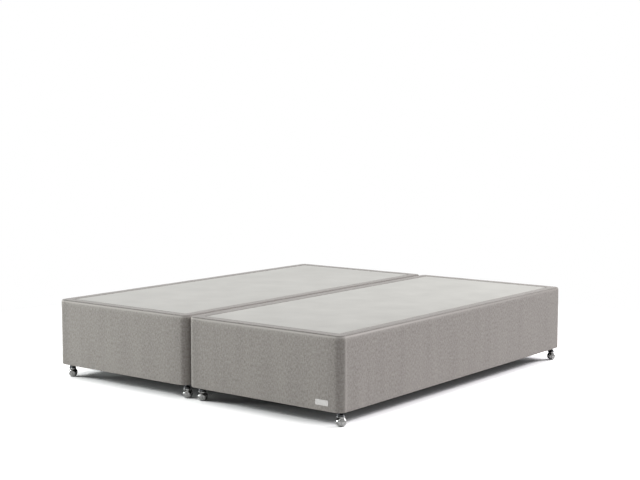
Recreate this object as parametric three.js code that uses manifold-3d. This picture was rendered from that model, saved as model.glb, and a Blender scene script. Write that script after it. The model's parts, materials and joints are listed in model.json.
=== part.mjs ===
import * as THREE from 'three';
import { mergeVertices } from 'three/addons/utils/BufferGeometryUtils.js';
import Module from 'manifold-3d';

// Divan bed base in two upholstered halves that stand side by side, in millimetres, +Z up.
// The width runs along X and the length along Y, the front end is at -Y, and the floor is at Z 0.

const wasm = await Module();
wasm.setup();

// Overall sizes
const halfWidth = 900;
const baseLength = 2000;
const halfGap = 6;
const floorClearance = 70;
const coverHeight = 330;
const cornerRadius = 36;

// Clearance between pieces that touch, and the overrun of every cut
const fitGap = 0.3;
const overrun = 5;

// Upholstery
const coverThickness = 8;
const edgeRollRadius = 7;
const hemRadius = 4;
const turnReach = 22;
const turnThickness = 1;
const bandReach = 62;
const bandThickness = 6.7;
const bandEdgeRadius = 2.4;
const insideCornerRadius = 6;
const clothSeamRadius = 1.8;
const clothCrown = 2.2;
const clothCrownShares = [0.05, 0.14, 0.3];
const dustThickness = 1.2;
const dustInset = 10;
const dustHoleGap = 2.5;

// Timber carcass: it stands a little above the fabric's lower edge
const hemDepth = 3.5;
const boardThickness = 18;
const postSize = 70;
const ledgerWidth = 44;
const ledgerHeight = 20;
const railWidth = 44;
const railHeight = 95;
const railFromEnd = 655;
const deckThickness = 6;

// Castor place and attitude
const castorInset = 45;
const castorHeading = THREE.MathUtils.degToRad(33);
const castorTilt = THREE.MathUtils.degToRad(20);
const ballOffset = 8;

// Castor wheel: its distances are along the axle, forward towards the dome
const wheelRadius = 24.5;
const treadBack = 2;
const treadFront = 2.5;
const treadHeight = 4;
const domeStep = 1.8;
const domeDepth = 19.5;
const capRadius = 8;
const capRise = 0.9;
const capEdge = 1;
const dishDepth = 14.5;
const hubRadius = 8;
const hubBack = 5;
const axleRadius = 3;
const axleReach = 8.9;

// Castor hood
const hoodWall = 1.8;
const runningGap = 0.8;
const hoodFloorGap = 4;
const bossRadius = 7;
const bossTop = 56;
const bossFloor = 2;
const shoulderRadius = 11.5;
const shoulderReach = 9;
const shoulderDepth = 4;
const shoulderRise = 5.5;
const shoulderEdge = 3;
const rivetRadius = 3.8;
const rivetHeight = 1.1;
const rivetEdge = 1.2;

// Castor stem and its socket in the timber
const stemRadius = 4;
const stemLength = 58;
const stemTipRadius = 3;
const stemTip = 5;
const collarRadius = 7;
const collarHeight = 2.6;
const socketWall = 1.4;
const socketDepth = 38;
const flangeRadius = 11;
const flangeThickness = 1.2;

// Link bars between the halves
const linkFromEnd = 200;
const linkReach = 51;
const linkBarWidth = 26;
const linkBarThickness = 3;
const linkBarDrop = 0.6;
const linkScrewRadius = 4;
const linkScrewLength = 26;
const linkHeadRadius = 8;
const linkHeadHeight = 3;
const linkHeadEdge = 1;
const linkSlotGap = 1;
const linkHoleGap = 0.6;

// Bare plate on the front face of the right half
const plateWidth = 70;
const plateHeight = 25;
const plateThickness = 1.2;
const plateCorner = 2;
const plateFromCorner = 70;
const plateRise = 22;

// Numbers of facets
const cornerSteps = 4;
const rollSteps = 3;
const hemSteps = 2;
const domeSteps = 4;
const hollowSteps = 2;
const wheelSides = 16;
const axleSides = 8;
const screwSides = 10;

// Levels above the floor
const coverBottom = floorClearance;
const coverTop = coverBottom + coverHeight;
const timberBottom = coverBottom + hemDepth;
const turnTop = timberBottom - fitGap;
const dustTop = turnTop - turnThickness - fitGap;
const linkBarTop = coverBottom - linkBarDrop;
const bandBottom = coverTop - bandThickness;
const deckTop = bandBottom - fitGap;
const timberTop = deckTop - deckThickness - fitGap;
const timberHeight = timberTop - timberBottom;

// Plan sizes inside the cover
const carcassInset = coverThickness + fitGap;
const carcassWidth = halfWidth - 2 * carcassInset;
const carcassLength = baseLength - 2 * carcassInset;
const halfCentre = (halfWidth + halfGap) / 2;

// The tread is a cone that lies level on the floor along one facet
const facetShare = Math.cos(Math.PI / wheelSides);
const treadDrop = ((treadBack + treadFront) * Math.tan(castorTilt)) / facetShare;
const ballHeight = wheelRadius * facetShare * Math.cos(castorTilt) - treadBack * Math.sin(castorTilt);

const finishes = {
  coverFabric: { color: 0x9e9a94, roughness: 0.95, metalness: 0 },
  platformCloth: { color: 0xd6d5cf, roughness: 0.95, metalness: 0 },
  dustFabric: { color: 0x2c2c2e, roughness: 0.9, metalness: 0 },
  softwood: { color: 0xc9a876, roughness: 0.75, metalness: 0 },
  chipboard: { color: 0xb99a6b, roughness: 0.85, metalness: 0 },
  hardboard: { color: 0x8a6238, roughness: 0.7, metalness: 0 },
  chrome: { color: 0xd8d9db, roughness: 0.08, metalness: 1 },
  zincSteel: { color: 0xa9acb0, roughness: 0.35, metalness: 1 },
  brushedPlate: { color: 0xc4c4c2, roughness: 0.3, metalness: 1 },
};

// Geometry helpers

// One closed skin: shared corners merged, triangles with no area dropped, and faces turned outward
function closedGeometry(geometry) {
  const bare = geometry.clone();
  bare.deleteAttribute('normal');
  bare.deleteAttribute('uv');
  const merged = mergeVertices(bare);
  const point = merged.getAttribute('position');
  const order = merged.getIndex().array;
  const index = [];
  const a = new THREE.Vector3();
  const b = new THREE.Vector3();
  const c = new THREE.Vector3();
  let volume = 0;
  for (let i = 0; i < order.length; i += 3) {
    const [p, q, r] = [order[i], order[i + 1], order[i + 2]];
    if (p !== q && q !== r && r !== p) {
      index.push(p, q, r);
      a.fromBufferAttribute(point, p);
      b.fromBufferAttribute(point, q);
      c.fromBufferAttribute(point, r);
      volume += a.dot(b.cross(c));
    }
  }
  merged.setIndex(volume < 0 ? index.reverse() : index);
  return merged;
}

function solidOf(geometry) {
  const shape = closedGeometry(geometry);
  return new wasm.Manifold(
    new wasm.Mesh({
      numProp: 3,
      vertProperties: new Float32Array(shape.getAttribute('position').array),
      triVerts: new Uint32Array(shape.getIndex().array),
    })
  );
}

function geometryOf(solid) {
  const mesh = solid.getMesh();
  const geometry = new THREE.BufferGeometry();
  geometry.setAttribute('position', new THREE.BufferAttribute(new Float32Array(mesh.vertProperties), 3));
  geometry.setIndex(Array.from(mesh.triVerts));
  return geometry;
}

function piece(name, geometry, finish) {
  const material = new THREE.MeshStandardMaterial(finishes[finish]);
  const mesh = new THREE.Mesh(geometry, material);
  mesh.name = name;
  mesh.geometry.computeVertexNormals();
  return mesh;
}

function arcPoints(centreX, centreY, radius, from, to, steps) {
  const curve = new THREE.EllipseCurve(centreX, centreY, radius, radius, from, to, to < from, 0);
  return curve.getPoints(steps);
}

// Outline of one half at a distance in from its outer faces
function halfOutline(inset) {
  const radius = Math.max(cornerRadius - inset, insideCornerRadius);
  const reachX = halfWidth / 2 - inset - radius;
  const reachY = baseLength / 2 - inset - radius;
  const corners = [[1, 1], [-1, 1], [-1, -1], [1, -1]];
  return corners.flatMap(([sideX, sideY], quarter) => {
    const start = (quarter * Math.PI) / 2;
    return arcPoints(sideX * reachX, sideY * reachY, radius, start, start + Math.PI / 2, cornerSteps);
  });
}

function halfRing(inset, height) {
  return halfOutline(inset).map((point) => new THREE.Vector3(point.x, point.y, height));
}

// Skin over a stack of rings: a looped stack is a tube, any other is capped at both ends
function loft(rings, looped) {
  const count = rings[0].length;
  const points = rings.flat();
  const index = [];
  const strips = looped ? rings.length : rings.length - 1;
  for (let i = 0; i < strips; i++) {
    const above = (i + 1) % rings.length;
    for (let j = 0; j < count; j++) {
      const next = (j + 1) % count;
      index.push(i * count + j, i * count + next, above * count + next);
      index.push(i * count + j, above * count + next, above * count + j);
    }
  }
  if (!looped) {
    const last = (rings.length - 1) * count;
    const low = points.length;
    const high = low + 1;
    points.push(new THREE.Vector3(0, 0, rings[0][0].z), new THREE.Vector3(0, 0, rings.at(-1)[0].z));
    for (let j = 0; j < count; j++) {
      const next = (j + 1) % count;
      index.push(low, next, j, high, last + j, last + next);
    }
  }
  const geometry = new THREE.BufferGeometry();
  geometry.setFromPoints(points);
  geometry.setIndex(index);
  return geometry;
}

function revolve(profile, sides) {
  const points = profile.map(([radius, along]) => new THREE.Vector2(radius, along));
  return closedGeometry(new THREE.LatheGeometry(points, sides, Math.PI / sides));
}

// Turned piece on a vertical axis, its profile given as radius and height
function upright(profile, sides) {
  return revolve(profile, sides).rotateX(Math.PI / 2);
}

// Turned piece on the castor's axle, its profile given as radius and distance towards the dome
function onAxle(profile, sides = wheelSides) {
  const geometry = revolve(profile, sides);
  geometry.rotateZ(Math.PI / 2);
  geometry.rotateY(-castorTilt);
  return geometry.translate(ballOffset, 0, ballHeight);
}

function extruded(shape, depth, options = {}) {
  const settings = { depth, bevelEnabled: false, curveSegments: cornerSteps, ...options };
  return new THREE.ExtrudeGeometry(shape, settings);
}

function roundHole(x, y, radius) {
  return new THREE.Path().absarc(x, y, radius, 0, 2 * Math.PI);
}

// Upholstery

// Padded border right round a half: rolled over at the top, turned in under the timber at the foot
function coverRing(name, pocket) {
  const hem = arcPoints(hemRadius, coverBottom + hemRadius, hemRadius, 1.5 * Math.PI, Math.PI, hemSteps);
  const rollCentre = coverTop - edgeRollRadius;
  const roll = arcPoints(edgeRollRadius, rollCentre, edgeRollRadius, Math.PI, Math.PI / 2, rollSteps);
  const turnEdge = coverThickness + turnReach;
  const profile = [
    [coverThickness, turnTop],
    [turnEdge, turnTop],
    [turnEdge, turnTop - turnThickness],
    [coverThickness, turnTop - turnThickness],
    [coverThickness, coverBottom],
    ...hem.concat(roll).map((p) => [p.x, p.y]),
    [coverThickness, coverTop - (coverThickness - edgeRollRadius)],
  ];
  const ring = closedGeometry(loft(profile.map(([inset, height]) => halfRing(inset, height)), true));
  if (!pocket) {
    return piece(name, ring, 'coverFabric');
  }
  return piece(name, geometryOf(solidOf(ring).subtract(solidOf(pocket))), 'coverFabric');
}

function topBand(name) {
  const edge = bandEdgeRadius;
  const shoulder = coverTop - edge;
  const outer = arcPoints(carcassInset + edge, shoulder, edge, Math.PI, Math.PI / 2, hemSteps);
  const inner = arcPoints(bandReach - edge, shoulder, edge, Math.PI / 2, 0, hemSteps);
  const profile = [[carcassInset, bandBottom], ...outer.concat(inner).map((p) => [p.x, p.y])];
  profile.push([bandReach, bandBottom]);
  const rings = profile.map(([inset, height]) => halfRing(inset, height));
  return piece(name, closedGeometry(loft(rings, true)), 'coverFabric');
}

// The cloth rises from its sewn edge to a slight crown
function platformCloth(name) {
  const reach = bandReach + fitGap;
  const radius = clothSeamRadius;
  const seam = arcPoints(reach + radius, coverTop - radius, radius, Math.PI, Math.PI / 2, hemSteps);
  const rings = [halfRing(reach, bandBottom), ...seam.map((p) => halfRing(p.x, p.y))];
  for (const share of clothCrownShares) {
    const swell = Math.sin((Math.PI / 2) * (share / clothCrownShares.at(-1)));
    rings.push(halfRing(reach + share * halfWidth, coverTop + clothCrown * swell));
  }
  return piece(name, closedGeometry(loft(rings, false)), 'platformCloth');
}

function dustCover(name, stemPlaces, linkPlaces) {
  const shape = new THREE.Shape(halfOutline(carcassInset + dustInset));
  for (const [x, y] of stemPlaces) {
    shape.holes.push(roundHole(x, y, flangeRadius + dustHoleGap));
  }
  for (const [x, y] of linkPlaces) {
    shape.holes.push(roundHole(x, y, linkScrewRadius + dustHoleGap));
  }
  const sheet = extruded(shape, dustThickness).translate(0, 0, dustTop - dustThickness);
  return piece(name, closedGeometry(sheet), 'dustFabric');
}

// Timber carcass

// End board with a corner post at each end, both bored for a castor socket
function endFrame(name, end, stemPlaces) {
  const radius = cornerRadius - carcassInset;
  const reach = carcassWidth / 2;
  const rightCorner = arcPoints(reach - radius, radius, radius, 1.5 * Math.PI, 2 * Math.PI, cornerSteps);
  const leftCorner = arcPoints(-reach + radius, radius, radius, Math.PI, 1.5 * Math.PI, cornerSteps);
  const inside = [
    [reach, postSize],
    [reach - postSize, postSize],
    [reach - postSize, boardThickness],
    [-reach + postSize, boardThickness],
    [-reach + postSize, postSize],
    [-reach, postSize],
  ];
  const insidePoints = inside.map(([x, y]) => new THREE.Vector2(x, y));
  const shape = new THREE.Shape([...rightCorner, ...insidePoints, ...leftCorner]);
  const block = extruded(shape, timberHeight).translate(0, -carcassLength / 2, timberBottom);
  if (end > 0) {
    block.rotateZ(Math.PI);
  }
  let solid = solidOf(block);
  const boreRadius = stemRadius + fitGap + socketWall + fitGap;
  for (const [x, y] of stemPlaces.filter((place) => Math.sign(place[1]) === end)) {
    const bore = upright(turnedRod(boreRadius, -overrun, socketDepth + fitGap), screwSides);
    solid = solid.subtract(solidOf(bore.translate(x, y, timberBottom)));
  }
  return piece(name, geometryOf(solid), 'softwood');
}

// Side board with a ledger along its foot, which also takes the link screws
function sideBoard(name, side, linkPlaces) {
  const length = carcassLength - 2 * (postSize + fitGap);
  const outer = carcassWidth / 2;
  const shape = new THREE.Shape();
  shape.moveTo(outer, timberBottom);
  shape.lineTo(outer, timberTop);
  shape.lineTo(outer - boardThickness, timberTop);
  shape.lineTo(outer - boardThickness, timberBottom + ledgerHeight);
  shape.lineTo(outer - boardThickness - ledgerWidth, timberBottom + ledgerHeight);
  shape.lineTo(outer - boardThickness - ledgerWidth, timberBottom);
  const board = extruded(shape, length).rotateX(Math.PI / 2).translate(0, length / 2, 0);
  if (side < 0) {
    board.rotateZ(Math.PI);
  }
  let solid = solidOf(board);
  for (const [x, y] of linkPlaces.filter((place) => Math.sign(place[0]) === side)) {
    const hole = upright(turnedRod(linkScrewRadius + fitGap, -overrun, ledgerHeight + overrun), screwSides);
    solid = solid.subtract(solidOf(hole.translate(x, y, timberBottom)));
  }
  return piece(name, geometryOf(solid), 'chipboard');
}

// Two cross rails joined by a spine, glued up as one frame under the deck
function crossFrame(name) {
  const reach = carcassWidth / 2 - boardThickness - fitGap;
  const far = baseLength / 2 - railFromEnd;
  const near = far - railWidth;
  const spine = railWidth / 2;
  const shape = new THREE.Shape();
  shape.moveTo(-reach, -far);
  shape.lineTo(reach, -far);
  shape.lineTo(reach, -near);
  shape.lineTo(spine, -near);
  shape.lineTo(spine, near);
  shape.lineTo(reach, near);
  shape.lineTo(reach, far);
  shape.lineTo(-reach, far);
  shape.lineTo(-reach, near);
  shape.lineTo(-spine, near);
  shape.lineTo(-spine, -near);
  shape.lineTo(-reach, -near);
  const frame = extruded(shape, railHeight).translate(0, 0, timberTop - railHeight);
  return piece(name, closedGeometry(frame), 'softwood');
}

function deckBoard(name) {
  const shape = new THREE.Shape(halfOutline(carcassInset));
  const board = extruded(shape, deckThickness).translate(0, 0, deckTop - deckThickness);
  return piece(name, closedGeometry(board), 'hardboard');
}

// Castors

function turnedRod(radius, from, to) {
  return [[0, from], [radius, from], [radius, to], [0, to]];
}

function castorSocket(name) {
  const bore = stemRadius + fitGap;
  const sleeve = bore + socketWall;
  const flangeTop = timberBottom - fitGap;
  const profile = [
    [bore, flangeTop - flangeThickness],
    [flangeRadius, flangeTop - flangeThickness],
    [flangeRadius, flangeTop],
    [sleeve, flangeTop],
    [sleeve, timberBottom + socketDepth],
    [bore, timberBottom + socketDepth],
    [bore, flangeTop - flangeThickness],
  ];
  return piece(name, upright(profile, screwSides), 'zincSteel');
}

function castorStem(name) {
  const foot = stemFoot() + fitGap;
  const head = foot + stemLength;
  const collarTop = timberBottom - fitGap - flangeThickness - fitGap;
  const profile = [
    [0, foot],
    [stemRadius, foot],
    [stemRadius, collarTop - collarHeight],
    [collarRadius, collarTop - collarHeight],
    [collarRadius, collarTop],
    [stemRadius, collarTop],
    [stemRadius, head - stemTip],
    [stemTipRadius, head],
    [0, head],
  ];
  return piece(name, upright(profile, screwSides), 'zincSteel');
}

// Top of the wheel's swept space on the stem's axis, which the boss has to clear
function wheelTop() {
  return ballHeight + (wheelRadius + runningGap) * Math.cos(castorTilt) + treadBack * Math.sin(castorTilt);
}

function stemFoot() {
  return wheelTop() + bossFloor;
}

function sphereProfile(radius, steps) {
  const quarter = new THREE.EllipseCurve(0, 0, radius, radius, -Math.PI / 2, 0, false, 0);
  return quarter.getPoints(steps).map((p) => [p.x, p.y]);
}

// Half-ball hood over the back of the wheel, with the boss for the stem and the axle cast in one with it
function castorHood(name) {
  const outer = sphereProfile(wheelRadius, domeSteps);
  const inner = sphereProfile(wheelRadius - hoodWall, hollowSteps).reverse();
  const shell = solidOf(onAxle([...outer, ...inner]));

  const shoulder = new THREE.Shape();
  shoulder.absarc(0, 0, bossRadius - shoulderEdge, Math.PI / 2, 1.5 * Math.PI);
  shoulder.absarc(shoulderReach, 0, shoulderRadius - shoulderEdge, -Math.PI / 2, Math.PI / 2);
  const shoulderHeight = shoulderDepth + shoulderRise;
  const bridge = extruded(shoulder, shoulderHeight - shoulderEdge, {
    bevelEnabled: true,
    bevelSize: shoulderEdge,
    bevelThickness: shoulderEdge,
    bevelSegments: 1,
    curveSegments: cornerSteps,
  });
  bridge.translate(0, 0, ballHeight + wheelRadius - shoulderDepth);
  const boss = upright(turnedRod(bossRadius, ballHeight + wheelRadius - shoulderDepth, bossTop), screwSides);
  const bore = upright(turnedRod(stemRadius + fitGap, stemFoot(), bossTop + overrun), screwSides);

  const house = onAxle(turnedRod(wheelRadius + runningGap, -treadBack - runningGap, wheelRadius + overrun));
  const floorBox = new THREE.BoxGeometry(4 * wheelRadius, 4 * wheelRadius, 2 * wheelRadius);
  floorBox.translate(ballOffset, 0, hoodFloorGap - wheelRadius);

  const back = -wheelRadius;
  const axleProfile = [
    [0, back - rivetHeight],
    [rivetRadius - rivetEdge, back - rivetHeight],
    [rivetRadius, back],
    [rivetRadius, back + hoodWall],
    [axleRadius, back + hoodWall],
    [axleRadius, axleReach],
    [0, axleReach],
  ];
  const axle = onAxle(axleProfile, axleSides);
  const casting = shell.add(solidOf(bridge)).add(solidOf(boss)).subtract(solidOf(bore));
  const cut = casting.subtract(solidOf(house)).subtract(solidOf(floorBox));
  return piece(name, geometryOf(cut.add(solidOf(axle))), 'chrome');
}

// Domed wheel with a cap at its centre, a level tread on its rim and a dished back with a hub
function castorWheel(name) {
  const treadEdge = wheelRadius - treadDrop;
  const domeRadius = treadEdge - domeStep;
  const dome = (radius) => treadFront + domeDepth * Math.sqrt(1 - (radius / domeRadius) ** 2);
  const capAngle = Math.acos(capRadius / domeRadius);
  const swell = new THREE.EllipseCurve(0, treadFront, domeRadius, domeDepth, capAngle, 0, true, 0);
  const bore = axleRadius + fitGap;
  const inside = domeDepth - dishDepth;
  const profile = [
    [0, dome(0) + capRise],
    [capRadius - capEdge, dome(capRadius) + capRise],
    [capRadius, dome(capRadius) + capRise - capEdge],
    ...swell.getPoints(domeSteps).map((p) => [p.x, p.y]),
    [treadEdge, treadFront],
    [wheelRadius, -treadBack],
    [wheelRadius - treadHeight, -treadBack],
    [hubRadius + treadHeight, inside],
    [hubRadius, inside],
    [hubRadius, -hubBack],
    [bore, -hubBack],
    [bore, axleReach + fitGap],
    [0, axleReach + fitGap],
  ];
  return piece(name, onAxle(profile), 'chrome');
}

function castor(name) {
  const group = new THREE.Group();
  const swivel = new THREE.Group();
  swivel.rotation.z = castorHeading;
  swivel.add(castorStem(`${name}_stem`), castorHood(`${name}_hood`), castorWheel(`${name}_wheel`));
  group.add(castorSocket(`${name}_socket`), swivel);
  return group;
}

// Link bars: a flat bar turns on a pivot screw in the right half and hooks on a stud in the left half

function linkScrew(name) {
  const headTop = linkBarTop - linkBarThickness - fitGap;
  const profile = [
    [0, headTop - linkHeadHeight],
    [linkHeadRadius - linkHeadEdge, headTop - linkHeadHeight],
    [linkHeadRadius, headTop - linkHeadHeight + linkHeadEdge],
    [linkHeadRadius, headTop],
    [linkScrewRadius, headTop],
    [linkScrewRadius, headTop + linkScrewLength],
    [0, headTop + linkScrewLength],
  ];
  return piece(name, upright(profile, screwSides), 'zincSteel');
}

function linkBar(name, end) {
  const half = linkBarWidth / 2;
  const slot = linkScrewRadius + linkSlotGap;
  const shape = new THREE.Shape();
  shape.absarc(linkReach, 0, half, -Math.PI / 2, Math.PI / 2);
  shape.absarc(-linkReach, 0, half, Math.PI / 2, Math.PI);
  shape.lineTo(-linkReach - half, -half);
  shape.lineTo(-linkReach - slot, -half);
  shape.lineTo(-linkReach - slot, 0);
  shape.absarc(-linkReach, 0, slot, Math.PI, 0, true);
  shape.lineTo(-linkReach + slot, -half);
  shape.holes.push(roundHole(linkReach, 0, linkScrewRadius + linkHoleGap));
  const bar = extruded(shape, linkBarThickness).translate(0, 0, linkBarTop - linkBarThickness);
  bar.scale(1, -end, 1);
  return piece(name, closedGeometry(bar), 'zincSteel');
}

// Bare plate, low on the front face near the outer corner

function plateCentre() {
  return halfWidth / 2 - plateFromCorner - plateWidth / 2;
}

function plateMiddle() {
  return coverBottom + plateRise + plateHeight / 2;
}

function plateShape(margin) {
  const reachX = plateWidth / 2 + margin - plateCorner;
  const reachY = plateHeight / 2 + margin - plateCorner;
  const shape = new THREE.Shape();
  shape.absarc(reachX, reachY, plateCorner, 0, Math.PI / 2);
  shape.absarc(-reachX, reachY, plateCorner, Math.PI / 2, Math.PI);
  shape.absarc(-reachX, -reachY, plateCorner, Math.PI, 1.5 * Math.PI);
  shape.absarc(reachX, -reachY, plateCorner, 1.5 * Math.PI, 2 * Math.PI);
  return shape;
}

function frontPlate(name) {
  const plate = extruded(plateShape(0), plateThickness).rotateX(Math.PI / 2);
  plate.translate(plateCentre(), -baseLength / 2 + plateThickness, plateMiddle());
  return piece(name, closedGeometry(plate), 'brushedPlate');
}

// Shallow pocket that the plate is pressed into
function platePocket() {
  const depth = plateThickness + fitGap;
  const pocket = extruded(plateShape(fitGap), depth + overrun).rotateX(Math.PI / 2);
  return pocket.translate(plateCentre(), -baseLength / 2 + depth, plateMiddle());
}

// Assembly

function bedHalf(name, side, pocket = null) {
  const group = new THREE.Group();
  const stemX = halfWidth / 2 - castorInset;
  const stemY = baseLength / 2 - castorInset;
  const places = {
    front_outer: [side * stemX, -stemY],
    front_inner: [-side * stemX, -stemY],
    rear_outer: [side * stemX, stemY],
    rear_inner: [-side * stemX, stemY],
  };
  const stemPlaces = Object.values(places);
  const linkX = -side * (halfCentre - linkReach);
  const linkY = baseLength / 2 - linkFromEnd;
  const linkPlaces = [[linkX, -linkY], [linkX, linkY]];
  group.add(
    coverRing(`${name}_side_cover`, pocket),
    topBand(`${name}_top_band`),
    platformCloth(`${name}_platform_cloth`),
    deckBoard(`${name}_deck_board`),
    endFrame(`${name}_front_frame`, -1, stemPlaces),
    endFrame(`${name}_rear_frame`, 1, stemPlaces),
    sideBoard(`${name}_outer_side_board`, side, linkPlaces),
    sideBoard(`${name}_inner_side_board`, -side, linkPlaces),
    crossFrame(`${name}_cross_frame`),
    dustCover(`${name}_dust_cover`, stemPlaces, linkPlaces)
  );
  for (const [place, [x, y]] of Object.entries(places)) {
    const unit = castor(`${name}_${place}_castor`);
    unit.position.set(x, y, 0);
    group.add(unit);
  }
  group.position.x = side * halfCentre;
  return group;
}

const divan = new THREE.Group();
const rightHalf = bedHalf('right', 1, platePocket());
rightHalf.add(frontPlate('front_plate'));
divan.add(bedHalf('left', -1), rightHalf);

for (const [name, end] of [['front', -1], ['rear', 1]]) {
  const link = new THREE.Group();
  const pivot = linkScrew(`${name}_link_pivot`);
  pivot.position.x = linkReach;
  const stud = linkScrew(`${name}_link_stud`);
  stud.position.x = -linkReach;
  link.add(linkBar(`${name}_link_bar`, end), pivot, stud);
  link.position.y = end * (baseLength / 2 - linkFromEnd);
  divan.add(link);
}

export default divan;
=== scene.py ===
"""Looks of a divan bed base in two upholstered halves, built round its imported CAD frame.

Lengths are metres in the CAD frame: the width runs along X, the front end is at -Y, the floor is at Z 0.
"""

import json
import logging
import math
from collections.abc import Callable
from dataclasses import dataclass
from enum import Enum
from functools import cached_property

import bmesh
import bpy
import numpy as np
from bpy.types import ID, Material, Mesh, Node, NodeSocket, NodeTree, Object
from mathutils import Euler, Matrix, Vector
from mathutils.geometry import delaunay_2d_cdt


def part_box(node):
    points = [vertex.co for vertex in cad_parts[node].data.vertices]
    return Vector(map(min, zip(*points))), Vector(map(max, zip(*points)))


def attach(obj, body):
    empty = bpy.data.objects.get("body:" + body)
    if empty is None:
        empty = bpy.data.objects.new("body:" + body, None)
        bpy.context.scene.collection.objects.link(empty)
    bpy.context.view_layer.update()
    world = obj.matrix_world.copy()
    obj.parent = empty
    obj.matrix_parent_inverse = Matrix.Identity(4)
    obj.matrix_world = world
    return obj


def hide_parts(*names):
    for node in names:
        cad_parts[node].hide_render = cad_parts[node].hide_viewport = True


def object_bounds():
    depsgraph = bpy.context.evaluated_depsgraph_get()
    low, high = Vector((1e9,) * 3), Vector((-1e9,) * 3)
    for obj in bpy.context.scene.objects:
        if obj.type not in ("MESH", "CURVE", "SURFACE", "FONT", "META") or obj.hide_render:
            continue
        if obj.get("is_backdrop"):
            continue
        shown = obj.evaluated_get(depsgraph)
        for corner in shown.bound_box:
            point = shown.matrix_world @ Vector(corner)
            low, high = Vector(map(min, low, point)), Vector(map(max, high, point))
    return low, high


log = logging.getLogger("divan")
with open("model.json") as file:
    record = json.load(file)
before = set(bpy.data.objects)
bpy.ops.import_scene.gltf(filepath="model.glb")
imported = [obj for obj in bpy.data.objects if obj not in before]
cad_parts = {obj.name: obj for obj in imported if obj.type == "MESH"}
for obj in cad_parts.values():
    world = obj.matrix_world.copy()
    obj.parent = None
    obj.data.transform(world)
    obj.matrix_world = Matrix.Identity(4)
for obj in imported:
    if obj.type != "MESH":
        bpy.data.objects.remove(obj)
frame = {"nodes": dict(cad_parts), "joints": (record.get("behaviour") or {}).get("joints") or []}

MM = 0.001
UV_NAME = "Metres"
# The mesh attribute that carries the fabric's painted light and shade
PAINTED_LIGHT_NAME = "fabric_tone"

HALF_WIDTH = 900 * MM
BASE_LENGTH = 2000 * MM
HALF_REACH = np.array([HALF_WIDTH, BASE_LENGTH]) / 2
HALF_CENTRE = 453 * MM
CORNER_RADIUS = 36 * MM
INSIDE_CORNER_RADIUS = 6 * MM


class Side(Enum):
    """The two halves, by the sign of their place along X."""

    LEFT = -1
    RIGHT = 1

    @property
    def label(self) -> str:
        """The half's name in the CAD tree."""
        return self.name.lower()

    @property
    def centre_x(self) -> float:
        """X of the half's middle."""
        return self.value * HALF_CENTRE


# Node trees and colours


def linear(hex_colour: str) -> tuple[float, float, float, float]:
    """Turns a colour such as "A09B96", as it looks on a screen, into linear red, green, blue and alpha."""
    parts = [int(hex_colour[i : i + 2], 16) / 255 for i in (0, 2, 4)]
    red, green, blue = [p / 12.92 if p <= 0.04045 else ((p + 0.055) / 1.055) ** 2.4 for p in parts]
    return (red, green, blue, 1.0)


def add_node(
    tree: NodeTree, kind: str, inputs: dict | None = None, out: int | str = 0, **settings: object
) -> NodeSocket:
    """Adds a node to a tree.

    Args:
        tree: The tree that the node goes into.
        kind: The node's type.
        inputs: Values by the input's name or number. A socket among them is linked.
        out: The name or number of the output that is given back.
        settings: Properties of the node.

    Returns:
        The output socket.
    """
    node = tree.nodes.new(kind)
    for name, value in settings.items():
        setattr(node, name, value)
    set_inputs(node, inputs)
    return node.outputs[out]


def set_inputs(node: Node, inputs: dict | None = None, **named: object) -> None:
    """Sets a node's inputs, or links them where the value is a socket.

    Args:
        node: The node.
        inputs: Values by the input's name or number.
        named: Values by the input's name, an underscore standing for a space.
    """
    spaced = {name.replace("_", " "): value for name, value in named.items()}
    for name, value in {**(inputs or {}), **spaced}.items():
        if isinstance(value, NodeSocket):
            node.id_data.links.new(value, node.inputs[name])
        else:
            node.inputs[name].default_value = value


def pattern(tree: NodeTree, place: NodeSocket, size: tuple[float, ...], detail: float = 2.0) -> NodeSocket:
    """Noise whose features measure about size along each direction, in metres.

    Args:
        tree: The tree it goes into.
        place: Where on the piece, in metres.
        size: The features' size in each direction of place.
        detail: How many finer layers it has.

    Returns:
        The noise, round about 0.5.
    """
    spread = tuple(1 / s for s in size)
    scaled = add_node(tree, "ShaderNodeMapping", {"Vector": place, "Scale": spread})
    return add_node(tree, "ShaderNodeTexNoise", {"Vector": scaled, "Scale": 1.0, "Detail": detail})


def remap(
    tree: NodeTree,
    value: NodeSocket,
    span: tuple[float, float],
    to: tuple[float, float],
    course: str = "LINEAR",
) -> NodeSocket:
    """Maps a value from one span onto another and clamps it there, evenly or by another course."""
    names = {"Value": value, "From Min": span[0], "From Max": span[1], "To Min": to[0], "To Max": to[1]}
    return add_node(tree, "ShaderNodeMapRange", names, interpolation_type=course)


def blend_colours(tree: NodeTree, share: NodeSocket, first: object, second: object) -> NodeSocket:
    """Mixes two colours, in hex, as values or as sockets, by a share from 0, all first, to 1, all second."""
    first, second = [linear(colour) if isinstance(colour, str) else colour for colour in (first, second)]
    return add_node(tree, "ShaderNodeMix", {0: share, 6: first, 7: second}, out=2, data_type="RGBA")


# Finishes


@dataclass(frozen=True)
class Finish:
    """A surface finish: what a piece is made of and how it takes light."""

    name: str
    colour: str

    def material(self) -> Material:
        """Gives the finish's material, made at its first use."""
        made = bpy.data.materials.get(self.name)
        if made is None:
            made = bpy.data.materials.new(self.name)
            made.use_nodes = True
            tree = made.node_tree
            surface = tree.nodes["Principled BSDF"]
            set_inputs(surface, Base_Color=linear(self.colour))
            self.shade(tree, surface)
        return made

    def shade(self, tree: NodeTree, surface: Node) -> None:
        """Adds the finish's own nodes and values."""
        raise NotImplementedError


def add_bump(tree: NodeTree, surface: Node, height: NodeSocket, depth: float) -> None:
    """Lets a height from 0 to 1 raise a surface by up to depth metres."""
    bump = add_node(tree, "ShaderNodeBump", {"Height": height, "Distance": depth, "Strength": 1.0})
    set_inputs(surface, Normal=bump)


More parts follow.
